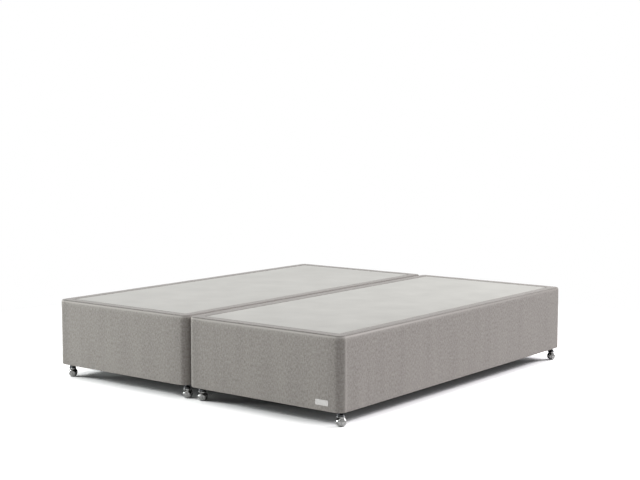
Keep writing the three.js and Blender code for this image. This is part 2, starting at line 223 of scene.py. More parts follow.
def metres(tree: NodeTree) -> NodeSocket:
    """The place on a piece's cloth in metres, from its UV map."""
    return add_node(tree, "ShaderNodeUVMap", uv_map=UV_NAME)


def solid_place(tree: NodeTree) -> NodeSocket:
    """The place in a piece's own frame in metres, for materials with a grain right through."""
    return add_node(tree, "ShaderNodeTexCoord", out="Object")


@dataclass(frozen=True)
class WovenMarl(Finish):
    """Woven polyester in slubby two-tone yarns, whose short uneven lengths give the faces a fine speckle."""

    light_yarn: str = "B5B0AB"
    dark_yarn: str = "817C77"
    # Colours of the painted highlight and of the painted shade, which the fabric's tone attribute mixes in
    stretched: str = "C6C1BC"
    sewn: str = "5E5A57"
    yarn_pitch: float = 2.4 * MM
    # Slubs along the yarns, thick threads across them, and the loom's broad bands, as weight, detail and size
    unevenness: tuple[tuple[float, float, tuple[float, ...]], ...] = (
        (0.62, 2, (6 * MM, 13 * MM, 1)),
        (0.3, 2, (11 * MM, 4 * MM, 1)),
        (0.13, 1, (55 * MM, 420 * MM, 1)),
    )
    speckle: tuple[float, float] = (0.285, 0.765)

    def shade(self, tree: NodeTree, surface: Node) -> None:
        """Mixes the yarns by their unevenness, paints shade into seams, gaps and corners and highlights onto
        edges, and raises the weave.
        """
        place = metres(tree)
        mixed: NodeSocket | float = 0.0
        for weight, detail, size in self.unevenness:
            inputs = {0: pattern(tree, place, size, detail), 1: weight, 2: mixed}
            mixed = add_node(tree, "ShaderNodeMath", inputs, operation="MULTIPLY_ADD")
        share = remap(tree, mixed, self.speckle, (0.0, 1.0))
        yarns = blend_colours(tree, share, self.dark_yarn, self.light_yarn)
        # A tone below 0 mixes in the painted highlight, a tone above 0 the painted shade
        tone = add_node(tree, "ShaderNodeAttribute", out="Fac", attribute_name=PAINTED_LIGHT_NAME)
        shade_share = remap(tree, tone, (0.0, 1.0), (0.0, 0.5))
        highlight_share = remap(tree, tone, (-1.0, 0.0), (1.0, 0.0))
        shaded = blend_colours(tree, shade_share, yarns, self.sewn)
        shaded = blend_colours(tree, highlight_share, shaded, self.stretched)
        set_inputs(surface, Base_Color=shaded, Roughness=0.92, Specular_IOR_Level=0.22)
        set_inputs(surface, Sheen_Weight=0.18, Sheen_Roughness=0.45)
        # The weave is drawn about three times as coarse as the yarns, which would be too fine to see.
        spread = 2 * math.pi / self.yarn_pitch
        scaled = add_node(tree, "ShaderNodeMapping", {"Vector": place, "Scale": (spread, spread, 1)})
        crossing = [add_node(tree, "ShaderNodeSeparateXYZ", {0: scaled}, out=axis) for axis in ("X", "Y")]
        warp, weft = [add_node(tree, "ShaderNodeMath", {0: line}, operation="SINE") for line in crossing]
        woven = add_node(tree, "ShaderNodeMath", {0: warp, 1: weft}, operation="MULTIPLY")
        raised = remap(tree, woven, (-1.0, 1.0), (0.0, 0.55))
        height = add_node(tree, "ShaderNodeMath", {0: share, 1: 0.45, 2: raised}, operation="MULTIPLY_ADD")
        add_bump(tree, surface, height, 0.35 * MM)


@dataclass(frozen=True)
class BrushedCotton(Finish):
    """Off-white brushed platform cloth with a short nap, which leaves it matt and almost plain."""

    hollow: str = "CDCCC6"
    cloud: float = 180 * MM
    nap: tuple[float, ...] = (4 * MM, 9 * MM, 1)

    def shade(self, tree: NodeTree, surface: Node) -> None:
        """Gives the nap faint tone and a fine raised grain."""
        place = metres(tree)
        cloud = pattern(tree, place, (self.cloud, self.cloud, 1), 2)
        nap = pattern(tree, place, self.nap, 3)
        tone = add_node(tree, "ShaderNodeMath", {0: nap, 1: 0.4, 2: cloud}, operation="MULTIPLY_ADD")
        share = remap(tree, tone, (0.45, 0.95), (0.0, 1.0))
        shade = blend_colours(tree, share, self.hollow, self.colour)
        set_inputs(surface, Base_Color=shade, Roughness=0.95, Specular_IOR_Level=0.18)
        set_inputs(surface, Sheen_Weight=0.15, Sheen_Roughness=0.5)
        add_bump(tree, surface, nap, 0.2 * MM)


@dataclass(frozen=True)
class SpunBond(Finish):
    """Black spun-bonded polypropylene, point-bonded by a roller, which leaves rows of shiny dimples."""

    between_fibres: str = "19191B"
    dimple_pitch: float = 3 * MM
    fibre: tuple[float, ...] = (1.2 * MM, 7 * MM, 1)

    def shade(self, tree: NodeTree, surface: Node) -> None:
        """Presses dimples into the fleece and makes them smoother than the rest."""
        place = metres(tree)
        spread = 1 / self.dimple_pitch
        scaled = add_node(tree, "ShaderNodeMapping", {"Vector": place, "Scale": (spread, spread, 1)})
        inputs = {"Vector": scaled, "Scale": 1.0, "Randomness": 0.12}
        far = add_node(tree, "ShaderNodeTexVoronoi", inputs, out="Distance")
        fibres = pattern(tree, place, self.fibre, 3)
        dimple = remap(tree, far, (0.18, 0.34), (0.0, 1.0))
        rough = remap(tree, dimple, (0.0, 1.0), (0.45, 0.88))
        tone = blend_colours(tree, fibres, self.between_fibres, self.colour)
        set_inputs(surface, Base_Color=tone, Roughness=rough, Specular_IOR_Level=0.35)
        add_bump(tree, surface, dimple, 0.25 * MM)


@dataclass(frozen=True)
class SewingThread(Finish):
    """Spun polyester sewing thread, two plies twisted, which gives it a mottled tone and a dull shine."""

    between_plies: str = "77736F"
    ply: float = 0.5 * MM

    def shade(self, tree: NodeTree, surface: Node) -> None:
        """Mottles the thread at the size of its plies."""
        plies = pattern(tree, solid_place(tree), (self.ply,) * 3, 1)
        tone = blend_colours(tree, plies, self.between_plies, self.colour)
        set_inputs(surface, Base_Color=tone, Roughness=0.6, Specular_IOR_Level=0.35, Sheen_Weight=0.2)


@dataclass(frozen=True)
class PlanedPine(Finish):
    """Planed pine, left bare, whose rings show as long lines of darker late wood across the frame."""

    late_wood: str = "A9824F"
    figure: tuple[float, ...] = (400 * MM, 60 * MM, 60 * MM)
    pore: tuple[float, ...] = (30 * MM, 1.5 * MM, 1.5 * MM)
    ring_turns: float = 60.0

    def shade(self, tree: NodeTree, surface: Node) -> None:
        """Draws grain as elongated rings with darker late wood and fine pores."""
        place = solid_place(tree)
        warped = pattern(tree, place, self.figure, 2)
        rings = add_node(tree, "ShaderNodeMath", {0: warped, 1: self.ring_turns}, operation="MULTIPLY")
        rings = add_node(tree, "ShaderNodeMath", {0: rings}, operation="SINE")
        pores = pattern(tree, place, self.pore, 2)
        share = remap(tree, rings, (-1.0, 1.0), (0.0, 0.7))
        share = add_node(tree, "ShaderNodeMath", {0: pores, 1: 0.3, 2: share}, operation="MULTIPLY_ADD")
        tone = blend_colours(tree, share, self.colour, self.late_wood)
        set_inputs(surface, Base_Color=tone, Roughness=0.68, Specular_IOR_Level=0.3)
        add_bump(tree, surface, pores, 0.15 * MM)


@dataclass(frozen=True)
class Chipboard(Finish):
    """Raw chipboard: wood flakes pressed and sanded, which leaves a mosaic of several tones."""

    dark_flake: str = "9A7C50"
    flake: float = 6 * MM

    def shade(self, tree: NodeTree, surface: Node) -> None:
        """Draws the flakes as cells of random tone."""
        spread = 1 / self.flake
        scaled = add_node(tree, "ShaderNodeMapping", {"Vector": solid_place(tree), "Scale": (spread,) * 3})
        flakes = add_node(tree, "ShaderNodeTexVoronoi", {"Vector": scaled, "Scale": 1.0}, out="Color")
        parts = add_node(tree, "ShaderNodeRGBToBW", {0: flakes})
        tone = blend_colours(tree, parts, self.dark_flake, self.colour)
        set_inputs(surface, Base_Color=tone, Roughness=0.8, Specular_IOR_Level=0.25)
        add_bump(tree, surface, parts, 0.2 * MM)


@dataclass(frozen=True)
class Hardboard(Finish):
    """Brown hardboard, hot-pressed smooth on its face, which leaves a fine fibrous mottle and a low shine."""

    dark_fibre: str = "6F4D2B"
    fibre: float = 2 * MM

    def shade(self, tree: NodeTree, surface: Node) -> None:
        """Mottles the face with short fibres."""
        fibres = pattern(tree, solid_place(tree), (self.fibre,) * 3, 4)
        share = remap(tree, fibres, (0.35, 0.65), (0.0, 1.0))
        tone = blend_colours(tree, share, self.dark_fibre, self.colour)
        set_inputs(surface, Base_Color=tone, Roughness=0.55, Specular_IOR_Level=0.4)


@dataclass(frozen=True)
class ChromePlate(Finish):
    """Polished chrome plate, which mirrors the floor and the dark underside, with faint handling marks."""

    smear: float = 9 * MM

    def shade(self, tree: NodeTree, surface: Node) -> None:
        """Makes it a mirror with slightly uneven polish."""
        smears = pattern(tree, solid_place(tree), (self.smear,) * 3, 3)
        rough = remap(tree, smears, (0.35, 0.75), (0.12, 0.2))
        set_inputs(surface, Metallic=1.0, Roughness=rough)


@dataclass(frozen=True)
class HoodPlate(Finish):
    """Chrome plate on a zinc casting, whose ball is a polished mirror and whose neck is satin and painted
    dark, painted shade for the dark underside that it mirrors.
    """

    # The neck's dark colour is painted shade for the dark underside that it mirrors
    neck: str = "505153"
    polished_up_to: float = 43 * MM
    fade: float = 3 * MM

    def shade(self, tree: NodeTree, surface: Node) -> None:
        """Fades the mirror into the satin neck and its painted shade over a few millimetres of height."""
        height = add_node(tree, "ShaderNodeSeparateXYZ", {0: solid_place(tree)}, out="Z")
        share = remap(tree, height, (self.polished_up_to, self.polished_up_to + self.fade), (0.0, 1.0))
        tone = blend_colours(tree, share, self.colour, self.neck)
        rough = remap(tree, share, (0.0, 1.0), (0.16, 0.45))
        set_inputs(surface, Base_Color=tone, Metallic=1.0, Roughness=rough)


@dataclass(frozen=True)
class ZincPlate(Finish):
    """Zinc-plated steel, passivated, which leaves a satin grey skin that is slightly cloudy."""

    cloud_colour: str = "9A9FA6"
    cloud: float = 5 * MM

    def shade(self, tree: NodeTree, surface: Node) -> None:
        """Clouds the plate's tone and gloss."""
        cloud = pattern(tree, solid_place(tree), (self.cloud,) * 3, 3)
        tone = blend_colours(tree, cloud, self.cloud_colour, self.colour)
        rough = remap(tree, cloud, (0.3, 0.7), (0.26, 0.42))
        set_inputs(surface, Base_Color=tone, Metallic=1.0, Roughness=rough)


@dataclass(frozen=True)
class BrushedSteel(Finish):
    """Stainless steel brushed along its length, whose fine lines draw the light out crossways."""

    line: tuple[float, ...] = (60 * MM, 1 * MM, 0.25 * MM)

    def shade(self, tree: NodeTree, surface: Node) -> None:
        """Draws the brush lines and stretches the shine across them."""
        lines = pattern(tree, solid_place(tree), self.line, 2)
        rough = remap(tree, lines, (0.3, 0.7), (0.3, 0.44))
        set_inputs(surface, Metallic=1.0, Roughness=rough, Anisotropic=0.6)
        add_bump(tree, surface, lines, 0.02 * MM)


MARL = WovenMarl("woven_marl_polyester", "A09B96")
PLATFORM = BrushedCotton("brushed_platform_cloth", "D8D7D1")
FLEECE = SpunBond("black_spun_bonded_fleece", "2A2A2C")
THREAD = SewingThread("spun_polyester_thread", "96918C")
PINE = PlanedPine("planed_pine", "CBA979")
CHIPS = Chipboard("raw_chipboard", "BB9C6C")
BOARD = Hardboard("pressed_hardboard", "8A6238")
CHROME = ChromePlate("polished_chrome_plate", "868685")
HOOD = HoodPlate("chrome_plated_cast_hood", "868685")
ZINC = ZincPlate("zinc_plated_steel", "B4B7BA")
# The stem's steel is darkened: painted shade for the dark underside that it mirrors
STEM_PAINTED_DARK = ZincPlate("dull_plated_steel", "77797C", "4F5255")
BRUSHED = BrushedSteel("brushed_stainless_steel", "A9A8A6")

# What each CAD node that is carried over is made of, by the end of its name
CARRIED = {
    "front_frame": PINE,
    "rear_frame": PINE,
    "cross_frame": PINE,
    "side_board": CHIPS,
    "deck_board": BOARD,
}


# Meshes


@dataclass
class Skin:
    """Points and faces of a piece, with the pattern's place in metres at each corner of its faces."""

    points: np.ndarray
    faces: np.ndarray
    corners: np.ndarray | None = None

    def piece(self, name: str, finish: Finish, slot: str, body: str = "base") -> Object:
        """Makes the object that shows this skin.

        Args:
            name: The piece's name.
            finish: What it is made of.
            slot: Not used; the record's material slot that it belongs to.
            body: The CAD body that it rides on.

        Returns:
            The object, linked and riding.
        """
        return show(bpy.data.objects.new(name, self.mesh(name, finish)), body)

    def mesh(self, name: str, finish: Finish) -> Mesh:
        """Makes a smooth mesh of this skin in a finish."""
        mesh = bpy.data.meshes.new(name)
        mesh.from_pydata(self.points.tolist(), [], self.faces.tolist())
        if self.corners is not None:
            layer = mesh.uv_layers.new(name=UV_NAME)
            layer.data.foreach_set("uv", self.corners.reshape(-1).astype(np.float32))
        mesh.polygons.foreach_set("use_smooth", np.ones(len(mesh.polygons), bool))
        mesh.materials.append(finish.material())
        return mesh

    def in_metres(self) -> "Skin":
        """This skin, given in millimetres, in metres and without a pattern's place."""
        return Skin(self.points * MM, self.faces)

    def laid_flat(self) -> "Skin":
        """This skin with its pattern laid on it from straight above."""
        return Skin(self.points, self.faces, self.points[self.faces.reshape(-1)][:, :2])


def show(piece: Object, body: str) -> Object:
    """Links a piece into the scene and lets it ride on a CAD body."""
    bpy.context.scene.collection.objects.link(piece)
    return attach(piece, body)


def joined(skins: list[Skin]) -> Skin:
    """Several skins with the same kind of faces as one, without a pattern's place."""
    starts = np.cumsum([0] + [len(s.points) for s in skins[:-1]])
    faces = np.concatenate([s.faces + start for s, start in zip(skins, starts)])
    return Skin(np.concatenate([s.points for s in skins]), faces)


def lofted(rings: np.ndarray, across: np.ndarray, down: np.ndarray, looped: bool) -> Skin:
    """Quads over a stack of closed rings.

    Args:
        rings: Points by ring, column and axis.
        across: The pattern's place at each column and once more at the end, in metres.
        down: The pattern's place at each ring, and once more at the end where the stack is looped.
        looped: Whether the last ring joins the first.

    Returns:
        The skin.
    """
    count, columns = rings.shape[:2]
    strips = count if looped else count - 1
    row, column = np.meshgrid(np.arange(strips), np.arange(columns), indexing="ij")
    above, beside = (row + 1) % count, (column + 1) % columns
    round_face = ((row, column), (row, beside), (above, beside), (above, column))
    faces = np.stack([r * columns + c for r, c in round_face], -1)
    round_place = ((column, row), (column + 1, row), (column + 1, row + 1), (column, row + 1))
    corners = np.stack([np.stack([across[c], down[r]], -1) for c, r in round_place], -2)
    return Skin(rings.reshape(-1, 3), faces.reshape(-1, 4), corners.reshape(-1, 2))


def repeated(shape: np.ndarray, places: np.ndarray, ahead: np.ndarray) -> Skin:
    """Copies of a swept shape that lie flat along a line.

    Args:
        shape: Its points by ring, column and axis, where X is ahead, Y is to the left and Z is up.
        places: Where each copy goes.
        ahead: Each copy's direction in plan.

    Returns:
        The copies as one skin.
    """
    rings, columns = shape.shape[:2]
    skins = []
    for place, (x, y) in zip(places, ahead):
        points = shape @ np.array([(x, y, 0), (-y, x, 0), (0, 0, 1)]) + place
        skins.append(lofted(points, np.zeros(columns + 1), np.zeros(rings), looped=False))
    return joined(skins)


def lathe(profile: list[tuple[float, float]], sides: int) -> Skin:
    """Turns a profile of (radius, height) about Z."""
    turn = np.linspace(0, 2 * math.pi, sides, endpoint=False)
    radius, height = np.array(profile).T
    ring = np.stack([np.cos(turn), np.sin(turn)], -1)
    flat = radius[:, None, None] * ring
    tall = np.repeat(height[:, None], sides, 1)[..., None]
    skin = lofted(np.concatenate([flat, tall], -1), np.zeros(sides + 1), np.zeros(len(profile)), looped=False)
    return Skin(skin.points, skin.faces[:, ::-1])


def rounded(profile: list[tuple[float, float, float]], steps: int = 4) -> list[tuple[float, float]]:
    """Rounds the corners of an open profile.

    Args:
        profile: Corners as (x, y, rounding radius), a radius of 0 leaving a corner as it is.
        steps: How many pieces each rounding is made of.

    Returns:
        The profile's points.
    """
    found: list[tuple[float, float]] = []
    for i, (x, y, radius) in enumerate(profile):
        corner = Vector((x, y))
        if radius == 0 or i in (0, len(profile) - 1):
            found.append((x, y))
            continue
        back = (Vector(profile[i - 1][:2]) - corner).normalized()
        onward = (Vector(profile[i + 1][:2]) - corner).normalized()
        half = back.angle(onward) / 2
        reach = radius / math.tan(half)
        start, end = corner + back * reach, corner + onward * reach
        for t in np.linspace(0, 1, steps + 1):
            found.append(tuple(start * (1 - t) ** 2 + corner * 2 * t * (1 - t) + end * t * t))
    return found


def smooth_step(value: np.ndarray, low: float, high: float) -> np.ndarray:
    """Rises smoothly from 0 at low to 1 at high."""
    t = np.clip((value - low) / (high - low), 0, 1)
    return t * t * (3 - 2 * t)


# Upholstery


@dataclass(frozen=True)
class Outline:
    """The rounded rectangle of one half, in columns that keep their places at every inset."""

    centre_x: float
    pitch: float

    @cached_property
    def columns(self) -> tuple[np.ndarray, np.ndarray]:
        """Each column's share of the straight reach in X and Y, and its outward direction."""
        reach_x, reach_y = HALF_REACH - CORNER_RADIUS
        corner = max(4, round(CORNER_RADIUS * math.pi / 2 / self.pitch))
        shares, outward = [], []
        for turn, length in enumerate((reach_y, reach_x, reach_y, reach_x)):
            angle = turn * math.pi / 2
            ahead = np.array([-math.sin(angle), math.cos(angle)]).round()
            out = np.array([math.cos(angle), math.sin(angle)]).round()
            for t in np.linspace(-1, 1, 1 + 2 * round(length / self.pitch)):
                shares.append(out + ahead * t)
                outward.append(out)
            for t in np.linspace(0, math.pi / 2, corner + 1)[1:-1]:
                shares.append(out + ahead)
                outward.append([math.cos(angle + t), math.sin(angle + t)])
        return np.array(shares), np.array(outward)

    def ring(self, inset: float, rounder: float = 0.0) -> np.ndarray:
        """Points of the outline at an inset, with corners rounder by a length, centred on the half."""
        shares, outward = self.columns
        radius = min(max(CORNER_RADIUS - inset, INSIDE_CORNER_RADIUS) + rounder, HALF_WIDTH / 2 - inset)
        return shares * (HALF_REACH - inset - radius) + outward * radius

    @cached_property
    def along(self) -> np.ndarray:
        """Distance round the outline at each column, and at the end."""
        ring = self.ring(0.0)
        steps = np.linalg.norm(np.roll(ring, -1, 0) - ring, axis=1)
        return np.concatenate([[0.0], np.cumsum(steps)])

    def waves(self, wavelength: float, seed: int, count: int = 24) -> np.ndarray:
        """A smooth random line round the outline.

        Args:
            wavelength: About how long its waves are.
            seed: Which line of its kind it is.
            count: How many waves it is summed from.

        Returns:
            Its height at each column, mostly between -1 and 1.
        """
        along, length = self.along[:-1, None], self.along[-1]
        draw = np.random.default_rng(seed)
        turns = np.maximum(1, np.round(length / wavelength * draw.uniform(0.6, 1.5, count)))
        starts = draw.uniform(0, 2 * math.pi, count)
        heights = np.sin(2 * math.pi * along / length * turns + starts)
        return heights.sum(1) / math.sqrt(count) / 1.2

    def puckers(self, wavelength: float, change: float, change_wave: float, seed: int) -> np.ndarray:
        """Puckers of a seam round the outline, which a change from 0 to 1 makes taller in some stretches."""
        strength = 1 - change + change * self.waves(change_wave, seed + 2)
        return self.waves(wavelength, seed) * strength

    def rings(self, insets: np.ndarray, heights: np.ndarray, rounder: np.ndarray | None = None) -> np.ndarray:
        """Points by row, column and axis, where each row and column has its own inset and height.

        Args:
            insets: Inset by row and column, or by row in a single column. A row's own outline is taken at
                its mean.
            heights: Height by row and column.
            rounder: How much rounder the corners of each row are.

        Returns:
            The points in the CAD frame.
        """
        outward = self.columns[1]
        rounder = np.zeros(len(insets)) if rounder is None else rounder
        rows = []
        for inset, height, more in zip(insets, heights, rounder):
            middle = float(inset.mean())
            flat = self.ring(middle, more) - outward * (inset - middle)[:, None]
            rows.append(np.column_stack([flat[:, 0] + self.centre_x, flat[:, 1], height]))
        return np.array(rows)

    def corner_share(self, reach: float) -> np.ndarray:
        """How near each column is to a corner, from 0 at reach and beyond to 1 on the corner."""
        away = np.maximum(0, HALF_REACH - CORNER_RADIUS - np.abs(self.ring(0.0)))
        return 1 - smooth_step(np.hypot(*away.T), 0, reach)

    def arc_end_share(self, spread: float) -> np.ndarray:
        """How near each column is to the place where a corner's arc runs into a long side."""
        x, y = np.abs(self.ring(0.0)).T
        away = y - (BASE_LENGTH / 2 - CORNER_RADIUS * 0.8)
        on_long_side = x > HALF_WIDTH / 2 - CORNER_RADIUS / 3
        return np.exp(-((away / spread) ** 2) / 2) * on_long_side


def profile_lengths(insets: np.ndarray, heights: np.ndarray) -> np.ndarray:
    """Distance along a closed profile at each of its points, and at the end."""
    points = np.column_stack([insets, heights])
    steps = np.linalg.norm(np.roll(points, -1, 0) - points, axis=1)
    return np.concatenate([[0.0], np.cumsum(steps)])


def mark_tone(piece: Object, tone: np.ndarray) -> None:
    """Notes the painted light and shade at each point, from -1 for a painted highlight to 1 for painted shade
    deep in a seam.
    """
    layer = piece.data.attributes.new(PAINTED_LIGHT_NAME, "FLOAT", "POINT")
    layer.data.foreach_set("value", tone.reshape(-1).astype(np.float32))


@dataclass
class SideCover:
    """The padded border of one half, hemmed in at its foot, plumped over its face and rolled at the top."""

    side: Side
    pitch: float = 3 * MM
    draw_in: float = 0.9 * MM
    # How far the face swells out, how that goes up and down along it, and how near the corners it stops
    plump: float = 0.9 * MM
    plump_fullness: float = 3.5
    billow: float = 0.22
    billow_wave: float = 420 * MM
    tight_share: float = 0.9
    tight_reach: float = 110 * MM
    # The hem, how it is pulled by its staples, and how far clear of the link bars it stops sinking
    hem_radius: float = 3 * MM
    hem_floor: float = 70.2 * MM
    hem_sink: float = 2.2 * MM
    hem_sink_reach: float = 15 * MM
    hem_pull: float = 0.25 * MM
    hem_pull_wave: float = 45 * MM
    hem_pull_reach: float = 20 * MM
    bar_clearance: float = 40 * MM
    # The roll over the top edge, and the puckers that its seam draws in it
    roll_width: float = 7.9 * MM
    roll_height: float = 13 * MM
    roll_crest: float = 395.6 * MM
    pucker: float = 0.45 * MM
    pucker_outward: float = 0.3
    pucker_wave: float = 11 * MM
    pucker_change: float = 0.35
    pucker_change_wave: float = 160 * MM
    # The share of them that is left at the roll's foot, and how far below it they die away
    pucker_left: float = 0.3
    pucker_reach: float = 9 * MM
    # The corners, and the crease that runs down the end of each
    rounder: float = 7 * MM
    corner_fall: float = 1.3 * MM
    corner_fall_reach: float = 60 * MM
    crease: float = 0.9 * MM
    crease_spread: float = 3 * MM
    # Painted highlight on the creases, and painted shade on the faces between the halves and on the ends near
    # the corners
    crease_light: float = 0.5
    between_dark: float = 0.6
    drawn_dark: float = 0.25
    drawn_reach: float = 90 * MM
    # How much of the seam's painted shade is lost along the sides, at the front and at the rear, how much of
    # the edge's painted highlight at the rear, and over which share of the length that sets in
    seam_eased: tuple[float, float] = (0.6, 0.9)
    edge_eased: float = 0.85
    easing_span: tuple[float, float] = (-0.4, 0.35)
    # How strong the painted highlight on the edge is, by the depth below its crest
    light_depths: tuple[float, ...] = (0, 1 * MM, 2 * MM, 5.5 * MM, 8 * MM, 16 * MM)
    light_shares: tuple[float, ...] = (0.3, 0.7, 1.0, 1.0, 0.35, 0.0)

    def profile(self) -> np.ndarray:
        """Rows of inset, height, and shares of plumpness, pucker, painted light or shade, rounder corners and
        sinking.
        """
        # Inside the ring, where it lies on the timber, and the seam at its top, in millimetres
        inside = [(30, 73), (20, 73.1), (9.4, 73.1), (8.5, 75), (8.4, 90), (8.4, 230), (8.4, 380), (8.6, 391)]
        rows = [(x * MM, z * MM, 0, 0, 0, 0, 0) for x, z in inside]
        # The seam's two rows take painted shade, a tone of 1
        rows += [(8.8 * MM, 392.8 * MM, 0, 0, 1, 0, 0), (8.8 * MM, 394.2 * MM, 0, 0.4, 1, 0, 0)]
        # The roll and the top of the face below it take a painted highlight just under the crest
        for degrees in (88, 80, 70, 60, 50, 40, 30, 20, 10, 0):
            angle = math.radians(degrees)
            height = self.roll_crest - self.roll_height * (1 - math.sin(angle))
            inset = self.draw_in + self.roll_width * (1 - math.cos(angle))
            pucker = self.pucker_left + (1 - self.pucker_left) * math.sin(angle)
            rounder = 1 - (degrees / 90) ** 2
            rows.append((inset, height, 0, pucker, self.edge_tone(height), rounder, 0))
        top, foot = self.roll_crest - self.roll_height, self.hem_floor + self.hem_radius
        for share in np.linspace(0, 1, 25)[1:-1]:
            height = top + (foot - top) * share
            swell = 1 - abs(2 * share - 1) ** self.plump_fullness
            sink = math.exp(-(height - foot) / self.hem_sink_reach)
            pucker = self.pucker_left * math.exp(-(top - height) / self.pucker_reach)
            rows.append((self.draw_in, height, swell, pucker, self.edge_tone(height), 1, sink))
        for degrees in range(0, 91, 18):
            angle = math.radians(degrees)
            inset = self.draw_in + self.hem_radius * (1 - math.cos(angle))
            rows.append((inset, foot - self.hem_radius * math.sin(angle), 0, 0, 0, 1, 1))
        # Turned in under the timber
        turned = [(7, 70.4, 0.8), (9, 71, 0.6), (11, 71.6, 0.4), (20, 72.1, 0), (29.6, 72.2, 0)]
        rows += [(x * MM, z * MM, 0, 0, 0, share, share) for x, z, share in turned]
        return np.array(rows)

    def edge_tone(self, height: float) -> float:
        """The painted highlight at a height, as a negative tone, strongest just below the crest and fainter a
        centimetre lower.
        """
        return -float(np.interp(self.roll_crest - height, self.light_depths, self.light_shares))

    def build(self) -> Object:
        """Makes the border as one closed padded ring."""
        outline = Outline(self.side.centre_x, self.pitch)
        inset, height, plump, pucker, tone, rounder, sink = self.profile().T
        seed = 10 + self.side.value
        ripple = outline.puckers(self.pucker_wave, self.pucker_change, self.pucker_change_wave, seed)
        billow = 1 + self.billow * outline.waves(self.billow_wave, seed + 4)
        tight = 1 - self.tight_share * outline.corner_share(self.tight_reach)
        pull = self.hem_pull * outline.waves(self.hem_pull_wave, seed + 6)
        out = plump[:, None] * self.plump * billow * tight
        # Each face falls away a little before its corners, so that they catch or lose the light early.
        out -= rounder[:, None] * self.corner_fall * outline.corner_share(self.corner_fall_reach)
        near_hem = np.exp(-np.maximum(0, height - self.hem_floor) / self.hem_pull_reach) * (plump > 0)
        out += near_hem[:, None] * pull
        # A crease runs down the end of each corner's arc, where the fabric is pulled tight round the frame.
        crease = rounder[:, None] * outline.arc_end_share(self.crease_spread)
        out += self.crease * crease
        lift = pucker[:, None] * self.pucker * ripple
        # The hem hangs lower than the timber, but not over the link bars between the halves.
        from_inner_face = outline.ring(0.0)[:, 0] * self.side.value + HALF_WIDTH / 2
        free = smooth_step(from_inner_face, 0, self.bar_clearance)
        heights = height[:, None] + lift - sink[:, None] * self.hem_sink * free
        insets = inset[:, None] - out - self.pucker_outward * lift
        rings = outline.rings(insets, heights, rounder * self.rounder)
        skin = lofted(rings, outline.along, profile_lengths(inset, height), looped=True)
        name = f"{self.side.label}_side_cover"
        piece = skin.piece(f"{name}_fabric", MARL, "cover_fabric")
        # The fabric takes its painted light and shade as a mesh attribute
        mark_tone(piece, self.tones(outline, tone, crease))
        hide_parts(name)
        return piece

    def tones(self, outline: Outline, tone: np.ndarray, crease: np.ndarray) -> np.ndarray:
        """The fabric's painted light and shade by row and column.

        Args:
            outline: The half's outline.
            tone: Each row's painted light or shade.
            crease: How much each row and column lies on a corner's crease.

        Returns:
            The tones: the seam's painted shade and the edge's painted highlight, faded along the sides, a
                painted
            highlight over the creases, painted shade between the halves and painted shade on the ends near
            the corners.
        """
        tone, (sideways, endways) = tone[:, None], outline.columns[1].T
        # Along the long sides the seam's painted shade and the edge's painted highlight fade, more and more
        # towards the rear.
        rearward = np.interp(outline.ring(0.0)[:, 1] / BASE_LENGTH, self.easing_span, (0, 1))
        seam_share = 1 - np.abs(sideways) * np.interp(rearward, (0, 1), self.seam_eased)
        edge_share = 1 - np.abs(sideways) * self.edge_eased * rearward
        eased = tone * np.where(tone > 0, seam_share, edge_share)
        # Painted shade on the faces that turn towards the other half, where the gap lies in shade
        inner = np.maximum(0, -sideways * self.side.value) ** 4
        # Painted shade on the front and rear faces near the corners
        corner_shade = self.drawn_dark * np.abs(endways) * outline.corner_share(self.drawn_reach)
        # Painted highlight over the creases, except on faces between the halves
        lit = np.maximum(-1, eased - self.crease_light * crease * (1 - inner))
        return np.where(tone > 0, eased, lit + self.between_dark * inner + corner_shade)


